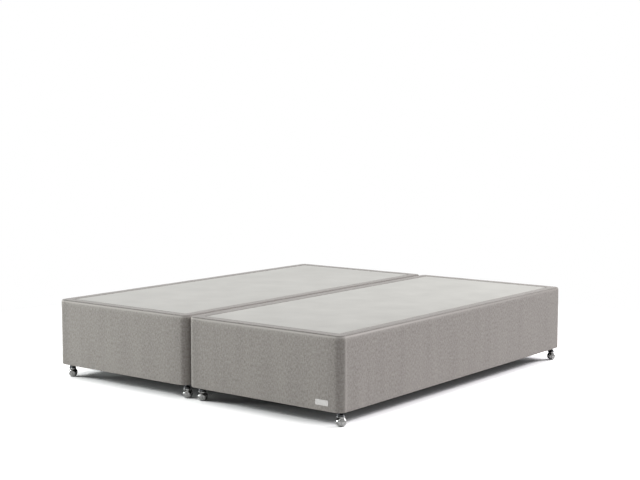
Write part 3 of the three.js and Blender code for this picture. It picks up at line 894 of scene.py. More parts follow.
@dataclass
class TopBand:
    """The strip of border fabric round the top, felted underneath and stitched along both edges."""

    side: Side
    pitch: float = 3 * MM
    pucker: float = 0.3 * MM
    pucker_wave: float = 12 * MM
    pucker_change: float = 0.3
    pucker_change_wave: float = 200 * MM
    swell: float = 0.25 * MM
    swell_wave: float = 300 * MM
    swell_span: tuple[float, float] = (397 * MM, 398.5 * MM)
    underside: float = 393.4 * MM
    squash: float = 0.69
    # How much of the seams' painted shade is lost along the sides
    seam_eased: float = 0.75

    def profile(self) -> np.ndarray:
        """Rows of inset, height, share of pucker and painted light or shade."""
        # The last column is painted shade in both seams and a painted sheen, a light tone, over the top
        rows = [
            (61, 393.5, 0, 0), (50, 393.5, 0, 0), (30, 393.5, 0, 0), (12, 393.5, 0, 0), (9.4, 393.6, 0, 1),
            (9.1, 395, 0, 1), (9.2, 396.6, 0.3, 0.9), (9.6, 398, 0.7, 0.5), (10.5, 399.3, 1, 0.2),
            (12, 400.4, 1, -0.05), (14.2, 401, 0.8, -0.2), (18, 401.3, 0.5, -0.3), (24, 401.4, 0.3, -0.3),
            (33, 401.3, 0.2, -0.3), (42, 401.1, 0.3, -0.3), (50, 400.9, 0.5, -0.3), (55, 400.6, 0.7, -0.3),
            (58, 400.1, 0.9, -0.2), (60, 399.3, 0.8, 0.05), (61.3, 398, 0.5, 0.45), (61.9, 396.4, 0.2, 0.9),
            (61.9, 394.6, 0, 1),
        ]
        rows = np.array(rows) * (MM, MM, 1, 1)
        rows[:, 1] = self.underside + (rows[:, 1] - rows[0, 1]) * self.squash
        return rows

    def build(self) -> Object:
        """Makes the band as one closed padded ring."""
        outline = Outline(self.side.centre_x, self.pitch)
        inset, height, pucker, tone = self.profile().T[..., None]
        seed = 40 + self.side.value
        ripple = outline.puckers(self.pucker_wave, self.pucker_change, self.pucker_change_wave, seed)
        swell = self.swell * outline.waves(self.swell_wave, seed + 4)
        heights = height + pucker * self.pucker * ripple + smooth_step(height, *self.swell_span) * swell
        rings = outline.rings(inset, heights)
        skin = lofted(rings, outline.along, profile_lengths(inset, height), looped=True)
        name = f"{self.side.label}_top_band"
        piece = skin.piece(f"{name}_fabric", MARL, "cover_fabric")
        # The band takes painted shade in its seams, fading along the sides, and a painted sheen over its top
        share = np.where(tone > 0, 1 - self.seam_eased * np.abs(outline.columns[1][:, 0]), 1)
        mark_tone(piece, tone * share)
        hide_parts(name)
        return piece


@dataclass
class PlatformCloth:
    """The off-white cloth that fills the top of one half, its edge turned down into the band's seam."""

    side: Side
    pitch: float = 14 * MM
    edge: float = 62.4 * MM
    thickness: float = 1.2 * MM
    turned_down: float = 6 * MM
    # The slope out of the seam, as steps in from the edge and heights, and the steps over the flat
    slope_steps: tuple[float, ...] = (0.2, 0.3, 0.7, 1.5, 2.8, 5, 9, 14, 20)
    slope_heights: tuple[float, ...] = (393.6, 394.6, 395.9, 396.9, 397.5, 397.8, 398, 398.1, 398.15)
    steep_up_to: float = 397.6 * MM
    step: float = 10 * MM
    # How the middle bulges, how the seam pulls the edge, and how slack the middle is
    crown: float = 1.5 * MM
    crown_reach: float = 150 * MM
    pull: float = 0.35 * MM
    pull_wave: float = 70 * MM
    pull_reach: float = 26 * MM
    pull_span: tuple[float, float] = (396 * MM, 398 * MM)
    slack: float = 0.35 * MM
    slack_reach: float = 90 * MM

    def build(self) -> Object:
        """Makes the cloth as a thin closed sheet over the deck."""
        outline = Outline(self.side.centre_x, self.pitch)
        slope = self.edge + np.array(self.slope_steps) * MM
        deeper = np.arange(slope[-1] + self.step, HALF_WIDTH / 2, self.step)
        inset = np.concatenate([slope, deeper, [HALF_WIDTH / 2]])[:, None]
        flat_height = np.full(len(deeper) + 1, self.slope_heights[-1])
        height = np.concatenate([self.slope_heights, flat_height])[:, None] * MM
        from_edge = np.maximum(0, inset - self.edge)
        rise = self.crown * np.sin(np.minimum(from_edge / self.crown_reach, 1) * math.pi / 2)
        pull = self.pull * outline.waves(self.pull_wave, 70 + self.side.value)
        pull = np.exp(-from_edge / self.pull_reach) * smooth_step(height, *self.pull_span) * pull
        rings = outline.rings(inset, height + rise + pull)
        # Long crossing waves, each bent by another, so that no two hollows are alike
        x, y = rings[..., 0], rings[..., 1]
        slack = np.sin(x * 9.1 + 2.3 * np.sin(y * 2.7)) * np.sin(y * 5.3 + 1.7 * np.sin(x * 4.1 + 0.6))
        rings[..., 2] += self.slack * slack * smooth_step(from_edge, 0, self.slack_reach)
        inward = np.where(height < self.steep_up_to, self.thickness, 0)
        lower = outline.rings(inset + inward, rings[..., 2] - self.thickness)
        lower[0, :, 2] = rings[0, :, 2]
        stack = np.concatenate([rings[::-1], lower])
        skin = lofted(stack, outline.along, np.zeros(len(stack)), looped=False).laid_flat()
        name = f"{self.side.label}_platform_cloth"
        piece = skin.piece(f"{name}_sheet", PLATFORM, "platform_cloth")
        close_seams(piece)
        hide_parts(name)
        return piece


def close_seams(piece: Object) -> None:
    """Joins points of a piece that lie in the same place."""
    mesh = bmesh.new()
    mesh.from_mesh(piece.data)
    bmesh.ops.remove_doubles(mesh, verts=mesh.verts, dist=0.01 * MM)
    mesh.to_mesh(piece.data)
    mesh.free()


@dataclass
class Stitching:
    """A line of machine stitches round one half."""

    side: Side
    label: str
    inset: float
    height: float
    pitch: float = 5 * MM
    stitch: float = 3.7 * MM
    thread: float = 0.34 * MM
    dip: float = 0.5 * MM

    def build(self) -> Object:
        """Makes the stitches as short bowed lengths of thread that dive into the fabric at both ends."""
        outline = Outline(self.side.centre_x, self.pitch)
        ring = outline.ring(self.inset)
        ahead = np.roll(ring, -1, 0) - ring
        ahead /= np.maximum(np.linalg.norm(ahead, axis=1), 1e-9)[:, None]
        places = np.column_stack([ring + (self.side.centre_x, 0), np.full(len(ring), self.height)])
        bow = np.linspace(-1, 1, 7)
        turn = np.linspace(0, 2 * math.pi, 6, endpoint=False)
        line = np.stack([bow * self.stitch / 2, 0 * bow, -self.dip * bow**4], -1)
        section = np.stack([0 * turn, np.cos(turn), np.sin(turn)], -1) * self.thread
        name = f"{self.side.label}_{self.label}_stitches"
        return repeated(line[:, None] + section, places, ahead).piece(name, THREAD, "cover_fabric")


@dataclass
class DustCover:
    """Black non-woven cloth stapled under one half, with holes for the castors and the link screws."""

    side: Side
    edge: float = 18.3 * MM
    top: float = 71.8 * MM
    thickness: float = 0.8 * MM
    sag: float = 2.2 * MM
    castor_hole: float = 13.5 * MM
    screw_hole: float = 6.5 * MM
    edge_pitch: float = 9 * MM
    # The staples, and how far they draw the sheet's edge outward
    staple_pitch: float = 45 * MM
    staple_inset: float = 5 * MM
    staple_draw: float = 0.5 * MM
    # The sheet's inner points: how far apart they are, and how far from its edge, its holes and its corners
    grid: float = 20 * MM
    edge_margin: float = 8 * MM
    hole_margin: float = 6 * MM
    corner_size: float = 20 * MM
    corner_reach: float = 22 * MM

    def holes(self) -> list[tuple[float, float, float]]:
        """Each hole's place and radius."""
        screw = "pivot" if self.side is Side.RIGHT else "stud"
        found = []
        for end in ("front", "rear"):
            sockets = [f"{self.side.label}_{end}_{place}_castor_socket" for place in ("outer", "inner")]
            radii = dict.fromkeys(sockets, self.castor_hole) | {f"{end}_link_{screw}": self.screw_hole}
            for node, radius in radii.items():
                low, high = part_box(node)
                found.append((*((low + high) / 2)[:2], radius))
        return found

    def outline_points(self) -> np.ndarray:
        """The sheet's edge, which is pulled outward a little at each staple."""
        outline = Outline(self.side.centre_x, self.edge_pitch)
        bow = self.staple_draw * np.cos(2 * math.pi * outline.along[:-1] / self.staple_pitch)
        ring = outline.ring(self.edge) + outline.columns[1] * bow[:, None]
        return ring + (self.side.centre_x, 0)

    def inner_points(self) -> np.ndarray:
        """An even grid of points over the sheet, clear of its corners."""
        reach = HALF_REACH - self.edge - self.edge_margin
        lines = [np.linspace(-r, r, round(2 * r / self.grid)) for r in reach]
        grid = np.stack(np.meshgrid(*lines), -1).reshape(-1, 2)
        past_corner = np.maximum(np.abs(grid) - (reach - self.corner_size), 0)
        return grid[np.hypot(*past_corner.T) < self.corner_reach] + (self.side.centre_x, 0)

    def build(self) -> list[Object]:
        """Makes the sheet and its staples."""
        holes, grid = self.holes(), self.inner_points()
        turn = np.linspace(0, 2 * math.pi, 28, endpoint=False)
        circles = [np.column_stack([x + r * np.cos(turn), y + r * np.sin(turn)]) for x, y, r in holes]
        loops = [self.outline_points(), *circles]
        starts = np.cumsum([0] + [len(loop) for loop in loops])
        lines = [(s + i, s + (i + 1) % len(loop)) for loop, s in zip(loops, starts) for i in range(len(loop))]
        given = np.concatenate([*loops, grid[clear_of(holes, grid, self.hole_margin)]])
        points, _, faces, *_ = delaunay_2d_cdt([Vector(p) for p in given], lines, [], 1, 1e-6)
        flat, faces = np.array([tuple(p) for p in points]), np.array([f for f in faces if len(f) == 3])
        faces = faces[clear_of(holes, flat[faces].mean(1))]
        share_x, share_y = np.clip(np.abs(flat - (self.side.centre_x, 0)) / (HALF_REACH - self.edge), 0, 1).T
        sag = self.sag * (1 - share_x**2) * (1 - share_y**4)
        sheet = two_sided(np.column_stack([flat, self.top - sag]), faces, self.thickness).laid_flat()
        name = f"{self.side.label}_dust_cover"
        piece = sheet.piece(f"{name}_sheet", FLEECE, "dust_fabric")
        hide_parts(name)
        return [piece, self.staples()]

    def staples(self) -> Object:
        """Makes the staples in a line beside the sheet's edge, with their legs going up."""
        outline = Outline(self.side.centre_x, self.staple_pitch)
        ring = outline.ring(self.edge + self.staple_inset) + (self.side.centre_x, 0)
        places = np.column_stack([ring, np.full(len(ring), self.top - self.thickness)])
        ahead = outline.columns[1][:, ::-1] * (-1, 1)
        bend = [(-5, 2.5), (-5, 0), (-4.6, -0.35), (0, -0.4), (4.6, -0.35), (5, 0), (5, 2.5)]
        line = np.array([(x, 0, z) for x, z in bend]) * MM
        section = np.array([(0, 0.6, -0.25), (0, -0.6, -0.25), (0, -0.6, 0.25), (0, 0.6, 0.25)]) * MM
        name = f"{self.side.label}_dust_cover_staples"
        return repeated(line[:, None] + section, places, ahead).piece(name, ZINC, "zinc_steel")


def clear_of(holes: list[tuple[float, float, float]], points: np.ndarray, margin: float = 0.0) -> np.ndarray:
    """Whether each point in plan lies farther than a margin outside every hole."""
    away = [np.hypot(points[:, 0] - x, points[:, 1] - y) > radius + margin for x, y, radius in holes]
    return np.all(away, 0)


def two_sided(points: np.ndarray, faces: np.ndarray, thickness: float) -> Skin:
    """A closed sheet of a thickness from its upper face, in triangles."""
    edges = np.concatenate([faces[:, [0, 1]], faces[:, [1, 2]], faces[:, [2, 0]]])
    known = {tuple(e) for e in edges.tolist()}
    rim = np.array([e for e in known if (e[1], e[0]) not in known])
    count = len(points)
    below = points - (0, 0, thickness)
    sides = np.concatenate(
        [np.column_stack([rim[:, 1], rim[:, 0], rim[:, 0] + count]),
         np.column_stack([rim[:, 1], rim[:, 0] + count, rim[:, 1] + count])]
    )
    return Skin(np.concatenate([points, below]), np.concatenate([faces, faces[:, ::-1] + count, sides]))


# Castors


def soft_min(first: np.ndarray, second: np.ndarray, width: float) -> np.ndarray:
    """The lesser of two distances, rounded over where they meet."""
    near = np.maximum(width - np.abs(first - second), 0) / width
    return np.minimum(first, second) - near * near * width / 4


def soft_max(first: np.ndarray, second: np.ndarray, width: float) -> np.ndarray:
    """The greater of two distances, rounded over where they meet."""
    return -soft_min(-first, -second, width)


def between(along: np.ndarray, low: float, high: float) -> np.ndarray:
    """Distance to a slab that reaches from low to high."""
    return np.maximum(low - along, along - high)


def surface_net(
    field: Callable[[np.ndarray], np.ndarray], low: tuple[float, ...], high: tuple[float, ...], cell: float
) -> Skin:
    """Casts the shape where a distance field is below 0.

    Args:
        field: Gives the distance at an array of points.
        low: The lowest corner of the space that holds the shape.
        high: Its highest corner.
        cell: The size of a face.

    Returns:
        The shape's closed skin of quads.
    """
    axes = [np.arange(a, b + cell, cell) for a, b in zip(low, high)]
    grid = np.stack(np.meshgrid(*axes, indexing="ij"), -1)
    value = field(grid)
    size = np.array(value.shape) - 1
    total, count = np.zeros((*size, 3)), np.zeros(tuple(size))
    quads = []
    for axis in range(3):
        first = np.take(value, range(size[axis]), axis)
        second = np.take(value, range(1, size[axis] + 1), axis)
        start = np.argwhere((first < 0) != (second < 0))
        a, b = first[tuple(start.T)], second[tuple(start.T)]
        point = grid[tuple(start.T)].copy()
        point[:, axis] += cell * a / (a - b)
        one, two = (axis + 1) % 3, (axis + 2) % 3
        around = []
        for back_one, back_two in ((1, 1), (0, 1), (0, 0), (1, 0)):
            place = start.copy()
            place[:, one] -= back_one
            place[:, two] -= back_two
            np.add.at(total, tuple(place.T), point)
            np.add.at(count, tuple(place.T), 1)
            around.append(np.ravel_multi_index(tuple(place.T), tuple(size)))
        quad = np.stack(around, -1)
        quads.append(np.where((a < 0)[:, None], quad, quad[:, ::-1]))
    used = np.flatnonzero(count)
    points = total.reshape(-1, 3)[used] / count.reshape(-1)[used][:, None]
    # A few corrections along the slope bring the points onto the surface itself.
    step = 0.02
    for _ in range(3):
        here = field(points)
        slope = np.stack([field(points + step * np.eye(3)[i]) - here for i in range(3)], -1) / step
        points = points - slope * (here / np.maximum((slope**2).sum(-1), 0.2))[:, None]
    number = np.zeros(count.size, int)
    number[used] = np.arange(len(used))
    return Skin(points, number[np.concatenate(quads)])


@dataclass(frozen=True)
class CastorShape:
    """Sizes of a ball castor in millimetres, about its stem's axis, before it is turned to its heading."""

    tilt: float
    offset: float = 8.0
    height: float = 21.8961
    radius: float = 24.5
    hood_wall: float = 1.8
    tread_back: float = 2.0
    tread_front: float = 2.5
    running_gap: float = 0.8
    floor_gap: float = 4.0
    clearance: float = 0.3
    boss_radius: float = 7.0
    boss_top: float = 56.0
    stem_foot: float = 48.354
    stem_radius: float = 4.0
    stem_length: float = 58.0
    stem_groove: float = 3.3
    collar_radius: float = 7.0
    collar_low: float = 69.1
    collar_top: float = 71.7
    sleeve_bore: float = 4.3
    sleeve_radius: float = 5.7
    sleeve_top: float = 111.5
    flange_radius: float = 11.0
    flange_low: float = 72.0
    flange_top: float = 73.2
    shoulder_reach: float = 9.0
    # The shoulder's radius over the ball and about the stem, and how it narrows with height
    shoulder_radius: float = 18.0
    shoulder_back: float = 13.0
    shoulder_taper: float = 0.55
    shoulder_slant: float = 0.88
    shoulder_low: float = 42.4
    shoulder_top: float = 55.4
    axle_radius: float = 3.0
    axle_reach: float = 8.9
    rivet_radius: float = 3.8
    rivet_height: float = 1.1
    dome_step: float = 1.8
    dome_depth: float = 19.5
    cap_radius: float = 8.0
    cap_rise: float = 0.9
    cap_border: float = 1.2
    # The cap's rounded edge and the groove round it, as steps from its radius and from the dome
    cap_edge: tuple[tuple[float, float], ...] = ((-0.5, 0.75), (-0.1, 0.35), (0.15, -0.35), (0.7, -0.3))
    dish_depth: float = 14.5
    hub_radius: float = 8.0
    hub_back: float = 5.0
    tread_height: float = 4.0
    # How widely the casting's parts run into each other, and how softly their edges are rounded
    shoulder_blend: float = 6.0
    shoulder_edge: float = 4.0
    boss_blend: float = 3.0
    soft_edge: float = 1.2
    cut_edge: float = 0.9
    rivet_blend: float = 0.8
    crisp_edge: float = 0.6
    # How far the bore and the wheel's house are cut, which is past the casting
    bore_end: float = 65.0
    house_end: float = 90.0
    cast_low: tuple[float, float, float] = (-18.0, -27.0, 2.0)
    cast_high: tuple[float, float, float] = (36.0, 27.0, 58.0)
    cast_cell: float = 0.75

    @property
    def axis(self) -> np.ndarray:
        """The axle's direction towards the dome."""
        return np.array([-math.cos(self.tilt), 0, -math.sin(self.tilt)])

    @property
    def middle(self) -> np.ndarray:
        """The ball's centre."""
        return np.array([self.offset, 0, self.height])

    def hood_distance(self, points: np.ndarray) -> np.ndarray:
        """Distance to the cast hood with its boss, shoulder and axle."""
        x, y, z = np.moveaxis(points, -1, 0)
        from_stem = np.hypot(x, y)
        away = points - self.middle
        along = away @ self.axis
        reach = np.linalg.norm(away, axis=-1)
        across = np.sqrt(np.maximum(reach**2 - along**2, 0))
        share = np.clip(x / self.shoulder_reach, 0, 1)
        wide = self.shoulder_back + (self.shoulder_radius - self.shoulder_back) * share
        wide = wide - self.shoulder_taper * (z - self.shoulder_low)
        plan = (np.hypot(x - share * self.shoulder_reach, y) - wide) * self.shoulder_slant
        slab = soft_max(plan, between(z, self.shoulder_low, self.shoulder_top), self.shoulder_edge)
        solid = soft_min(reach - self.radius, slab, self.shoulder_blend)
        boss = between(z, self.shoulder_low, self.boss_top)
        boss = soft_max(from_stem - self.boss_radius, boss, self.soft_edge)
        solid = soft_min(solid, boss, self.boss_blend)
        shape = soft_max(solid, self.radius - self.hood_wall - reach, self.crisp_edge)
        bore_radius = self.stem_radius + self.clearance
        bore = np.maximum(from_stem - bore_radius, between(z, self.stem_foot, self.bore_end))
        house_radius, house_back = self.radius + self.running_gap, -self.tread_back - self.running_gap
        house = np.maximum(across - house_radius, between(along, house_back, self.house_end))
        for left in (-bore, -house, self.floor_gap - z):
            shape = soft_max(shape, left, self.cut_edge)
        rivet_span = between(along, -self.radius - self.rivet_height, self.hood_wall - self.radius)
        rivet = soft_max(across - self.rivet_radius, rivet_span, self.soft_edge)
        axle_span = between(along, -self.radius, self.axle_reach)
        axle = soft_max(across - self.axle_radius, axle_span, self.crisp_edge)
        return soft_min(shape, np.minimum(rivet, axle), self.rivet_blend)

    def hood(self) -> Skin:
        """The hood's skin in metres."""
        return surface_net(self.hood_distance, self.cast_low, self.cast_high, self.cast_cell).in_metres()

    def wheel(self) -> Skin:
        """The domed wheel's skin in metres, in its place on the tilted axle."""
        # The tread's slope makes it lie level on the floor on one of the CAD wheel's 16 flats.
        tread_drop = (self.tread_back + self.tread_front) * math.tan(self.tilt) / math.cos(math.pi / 16)
        tread_edge = self.radius - tread_drop
        dome_radius = tread_edge - self.dome_step

        def dome(radius: float) -> float:
            """Height of the dome over the wheel's middle at a radius."""
            return self.tread_front + self.dome_depth * math.sqrt(max(0.0, 1 - (radius / dome_radius) ** 2))

        edge = self.cap_radius
        cap = np.linspace(0, edge - self.cap_border, 6)
        profile = [(radius, dome(radius) + self.cap_rise) for radius in cap]
        profile += [(edge + outward, dome(edge) + up) for outward, up in self.cap_edge]
        for angle in np.linspace(math.acos((edge + self.cap_border) / dome_radius), 0, 22):
            height = self.tread_front + self.dome_depth * math.sin(angle)
            profile.append((dome_radius * math.cos(angle), height))
        inside = self.dome_depth - self.dish_depth
        axle_hole = self.axle_radius + self.clearance
        rim = [
            (dome_radius, self.tread_front, 0),
            (tread_edge, self.tread_front, 0.5),
            (self.radius, -self.tread_back, 0.6),
            (self.radius - self.tread_height, -self.tread_back, 0.6),
            (self.hub_radius + self.tread_height, inside, 1.5),
            (self.hub_radius, inside, 0.8),
            (self.hub_radius, -self.hub_back, 0.6),
            (axle_hole, -self.hub_back, 0.3),
            (axle_hole, self.axle_reach + self.clearance, 0),
            (0, self.axle_reach + self.clearance, 0),
        ]
        skin = lathe(profile + rounded(rim)[1:], 72)
        turn = np.array(Matrix.Rotation(-math.pi / 2 - self.tilt, 3, "Y"))
        return Skin(skin.points @ turn.T + self.middle, skin.faces).in_metres()

    def stem(self) -> Skin:
        """The stem with its collar and a narrower head that the socket grips."""
        foot = self.stem_foot + self.clearance
        head = foot + self.stem_length
        profile = [
            (0, foot, 0),
            (self.stem_radius, foot, 0.4),
            (self.stem_radius, self.collar_low, 0.3),
            (self.collar_radius, self.collar_low, 0.6),
            (self.collar_radius, self.collar_top, 0.6),
            (self.stem_radius, self.collar_top, 0.3),
            (self.stem_radius, head - 9, 0.3),
            (self.stem_groove, head - 8.4, 0.3),
            (self.stem_groove, head - 6.6, 0.3),
            (self.stem_radius, head - 6, 0.3),
            (self.stem_radius, head - 5, 0.5),
            (self.stem_radius - 1, head, 0.6),
            (0, head, 0),
        ]
        return lathe(rounded(profile), 40).in_metres()

    def socket(self) -> Skin:
        """The flanged sleeve that the stem turns in."""
        profile = [
            (self.sleeve_bore, self.flange_low, 0),
            (self.flange_radius, self.flange_low, 0.5),
            (self.flange_radius, self.flange_top, 0.4),
            (self.sleeve_radius, self.flange_top, 0.4),
            (self.sleeve_radius, self.sleeve_top - 6, 0.4),
            (self.sleeve_radius - 0.3, self.sleeve_top, 0.3),
            (self.sleeve_bore, self.sleeve_top, 0.3),
            (self.sleeve_bore, self.flange_low, 0),
        ]
        return lathe(rounded(profile), 40).in_metres()


@dataclass
class Castor:
    """One ball castor, in the place and at the heading of its CAD joints."""

    name: str
    place: Vector
    heading: float

    def build(self, shapes: dict[str, Mesh]) -> list[Object]:
        """Makes the castor's four pieces, which share their meshes with the other castors."""
        made = []
        turned = Matrix.Translation((self.place.x, self.place.y, 0)) @ Matrix.Rotation(self.heading, 4, "Z")
        rows = {
            "socket": ("base", "zinc_steel"),
            "stem": (f"{self.name}_swivel", "zinc_steel"),
            "hood": (f"{self.name}_swivel", "chrome"),
            "wheel": (f"{self.name}_roller", "chrome"),
        }
        for part, (body, slot) in rows.items():
            piece = bpy.data.objects.new(f"{self.name}_{part}_turned", shapes[part])
            piece.matrix_world = turned
            show(piece, body)
            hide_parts(f"{self.name}_{part}")
            made.append(piece)
        return made


def castor_meshes(shape: CastorShape) -> dict[str, Mesh]:
    """The meshes that all castors share."""
    parts = {
        "socket": (shape.socket(), ZINC),
        "stem": (shape.stem(), STEM_PAINTED_DARK),
        "hood": (shape.hood(), HOOD),
        "wheel": (shape.wheel(), CHROME),
    }
    return {part: skin.mesh(f"castor_{part}", finish) for part, (skin, finish) in parts.items()}


def build_castors() -> list[Object]:
    """Makes the eight castors from the frame's swivel and wheel joints."""
    joints = {j["name"]: j for j in frame["joints"]}
    names = sorted(n[: -len("_swivel_turn")] for n in joints if n.endswith("_swivel_turn"))
    axis = Vector(joints[f"{names[0]}_wheel_roll"]["axis"])
    meshes = castor_meshes(CastorShape(tilt=math.asin(-axis.z)))
    made = []
    for name in names:
        axis = Vector(joints[f"{name}_wheel_roll"]["axis"])
        place = Vector(joints[f"{name}_swivel_turn"]["pos_m"])
        made += Castor(name, place, math.atan2(-axis.y, -axis.x)).build(meshes)
    return made


# Hardware


def pressed_plate(
    name: str, loops: list[list[tuple[float, float]]], thickness: float, bevel: float, finish: Finish
) -> Mesh:
    """A flat plate with softened edges.

    Args:
        name: The mesh's name.
        loops: Its outline and its holes.
        thickness: Its thickness, centred on Z 0.
        bevel: How far its edges are softened.
        finish: What it is made of.

    Returns:
        The plate's mesh in the XY plane.
    """
    curve = bpy.data.curves.new(name, "CURVE")
    curve.dimensions, curve.fill_mode = "2D", "BOTH"
    curve.extrude, curve.bevel_depth, curve.bevel_resolution = thickness / 2 - bevel, bevel, 2
    curve.offset = -bevel
    for loop in loops:
        line = curve.splines.new("POLY")
        line.points.add(len(loop) - 1)
        line.points.foreach_set("co", [c for x, y in loop for c in (x, y, 0, 1)])
        line.use_cyclic_u = True
    source = bpy.data.objects.new(name, curve)
    bpy.context.scene.collection.objects.link(source)
    mesh = bpy.data.meshes.new_from_object(source.evaluated_get(bpy.context.evaluated_depsgraph_get()))
    bpy.data.objects.remove(source)
    mesh.materials.append(finish.material())
    return mesh


def arc(
    x: float, y: float, radius: float, start: float, end: float, steps: int = 20
) -> list[tuple[float, float]]:
    """Points on an arc between two angles in degrees."""
    turns = np.radians(np.linspace(start, end, steps + 1))
    return [(x + radius * math.cos(t), y + radius * math.sin(t)) for t in turns]


@dataclass
class LinkBar:
    """A flat steel bar that hooks the halves together near one end, with its two screws."""

    end: str
    sign: int
    reach: float = 51 * MM
    half: float = 13 * MM
    slot: float = 5 * MM
    hole: float = 4.6 * MM
    thickness: float = 3 * MM
    bevel: float = 0.35 * MM
    top: float = 69.4 * MM
    place: float = 800 * MM
    head_gap: float = 0.3 * MM

    def build(self) -> list[Object]:
        """Makes the bar, the pivot screw and the hook stud."""
        outline = arc(self.reach, 0, self.half, -90, 90) + arc(-self.reach, 0, self.half, 90, 180)
        outline += [(-self.reach - self.half, -self.half), (-self.reach - self.slot, -self.half)]
        outline += arc(-self.reach, 0, self.slot, 180, 0) + [(-self.reach + self.slot, -self.half)]
        holes = arc(self.reach, 0, self.hole, 360, 0, 28)[:-1]
        name = f"{self.end}_link_bar"
        mesh = pressed_plate(name, [outline, holes], self.thickness, self.bevel, ZINC)
        mesh.transform(Matrix.Diagonal((1, -self.sign, 1, 1)))
        if self.sign > 0:
            mesh.flip_normals()
        bar = bpy.data.objects.new(f"{name}_plated", mesh)
        bar.matrix_world = Matrix.Translation((0, self.sign * self.place, self.top - self.thickness / 2))
        show(bar, f"{self.end}_link")
        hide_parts(name)
        return [bar, self.screw("pivot", self.reach), self.screw("stud", -self.reach)]

    def screw(self, part: str, x: float) -> Object:
        """Makes a pan-headed screw with a round recess in its head."""
        head_top = self.top - self.thickness - self.head_gap
        profile = [
            (0, -1.1, 0), (2.2, -1.1, 0.1), (2.4, -2.9, 0.2), (6.6, -3, 1.2), (8, -1.6, 1), (8, 0, 0.3),
            (4, 0, 0.2), (4, 24, 0.5), (2.6, 26, 0.4), (0, 26, 0),
        ]
        skin = lathe([(r * MM, head_top + z * MM) for r, z in rounded(profile)], 36)
        name = f"{self.end}_link_{part}"
        place = np.array([x, self.sign * self.place, 0])
        piece = Skin(skin.points + place, skin.faces).piece(f"{name}_plated", ZINC, "zinc_steel")
        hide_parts(name)
        return piece


@dataclass
class FrontPlate:
    """The small bare plate low on the front face of the right half."""

    width: float = 70 * MM
    height: float = 25 * MM
    corner: float = 2 * MM
    thickness: float = 1.2 * MM
    bevel: float = 0.2 * MM

    def build(self) -> Object:
        """Makes the plate with softened corners and edges."""
        low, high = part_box("front_plate")
        x, y = self.width / 2 - self.corner, self.height / 2 - self.corner
        loop = []
        for turn, (sign_x, sign_y) in enumerate([(1, 1), (-1, 1), (-1, -1), (1, -1)]):
            loop += arc(sign_x * x, sign_y * y, self.corner, 90 * turn, 90 * turn + 90, 6)
        mesh = pressed_plate("front_plate", [loop], self.thickness, self.bevel, BRUSHED)
        mesh.transform(Matrix.Rotation(math.pi / 2, 4, "X"))
        plate = bpy.data.objects.new("front_plate_brushed", mesh)
        plate.matrix_world = Matrix.Translation((low + high) / 2)
        show(plate, "base")
        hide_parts("front_plate")
        return plate


def finish_timber() -> int:
    """Gives every CAD node that is carried over its own finish, and counts them."""
    count = 0
    for name, node in frame["nodes"].items():
        finish = next((f for ending, f in CARRIED.items() if name.endswith(ending)), None)
        if finish is not None:
            for place in node.material_slots:
                place.link = "OBJECT"
                place.material = finish.material()
            count += 1
    return count


# Studio


@dataclass(frozen=True)
class Lamp:
    """A square soft lamp that points at the middle of the base."""

    name: str
    place: tuple[float, float, float]
    size: float
    power: float
    colour: tuple[float, float, float] = (1.0, 1.0, 1.0)
    aim: tuple[float, float, float] = (0.0, 0.0, 0.2)

    def build(self) -> None:
        """Hangs the lamp."""
        light = bpy.data.lights.new(self.name, "AREA")
        light.size, light.energy, light.color = self.size, self.power, self.colour
        towards = Vector(self.aim) - Vector(self.place)
        turn = towards.to_track_quat("-Z", "Y").to_matrix().to_4x4()
        add_to_scene(self.name, light).matrix_world = Matrix.Translation(self.place) @ turn


@dataclass(frozen=True)
class Window:
    """The soft light of a tall window far behind on the right, which falls evenly along that side."""

    towards: tuple[float, float, float] = (0.4755, 0.8236, 0.309)
    spread: float = math.radians(24)
    strength: float = 2.06
    colour: tuple[float, float, float] = (0.99, 0.96, 1.0)

    def build(self) -> None:
        """Lets its light in."""
        light = bpy.data.lights.new("window", "SUN")
        light.angle, light.energy, light.color = self.spread, self.strength, self.colour
        turn = Vector(self.towards).to_track_quat("Z", "Y")
        add_to_scene("window", light).rotation_euler = turn.to_euler()


@dataclass(frozen=True)
class Viewpoint:
    """A slightly lowered camera, its lens shifted a little so that upright edges stay almost parallel."""

    place: tuple[float, float, float] = (4.07509, -5.21851, 1.32494)
    turn: float = 0.66174
    lowered: float = 0.072
    lens: float = 71.163
    shift: float = -0.05014

    def build(self) -> None:
        """Sets up the camera."""
        data = bpy.data.cameras.new("camera")
        data.sensor_fit, data.sensor_width = "HORIZONTAL", 36.0
        data.lens, data.shift_y = self.lens, self.shift
        camera = add_to_scene("camera", data)
        camera.location = self.place
        camera.rotation_euler = Euler((math.pi / 2 - self.lowered, 0, self.turn))
        bpy.context.scene.camera = camera


def add_to_scene(name: str, data: ID) -> Object:
    """Adds an object that shows some data to the scene."""
    made = bpy.data.objects.new(name, data)
    bpy.context.scene.collection.objects.link(made)
    return made


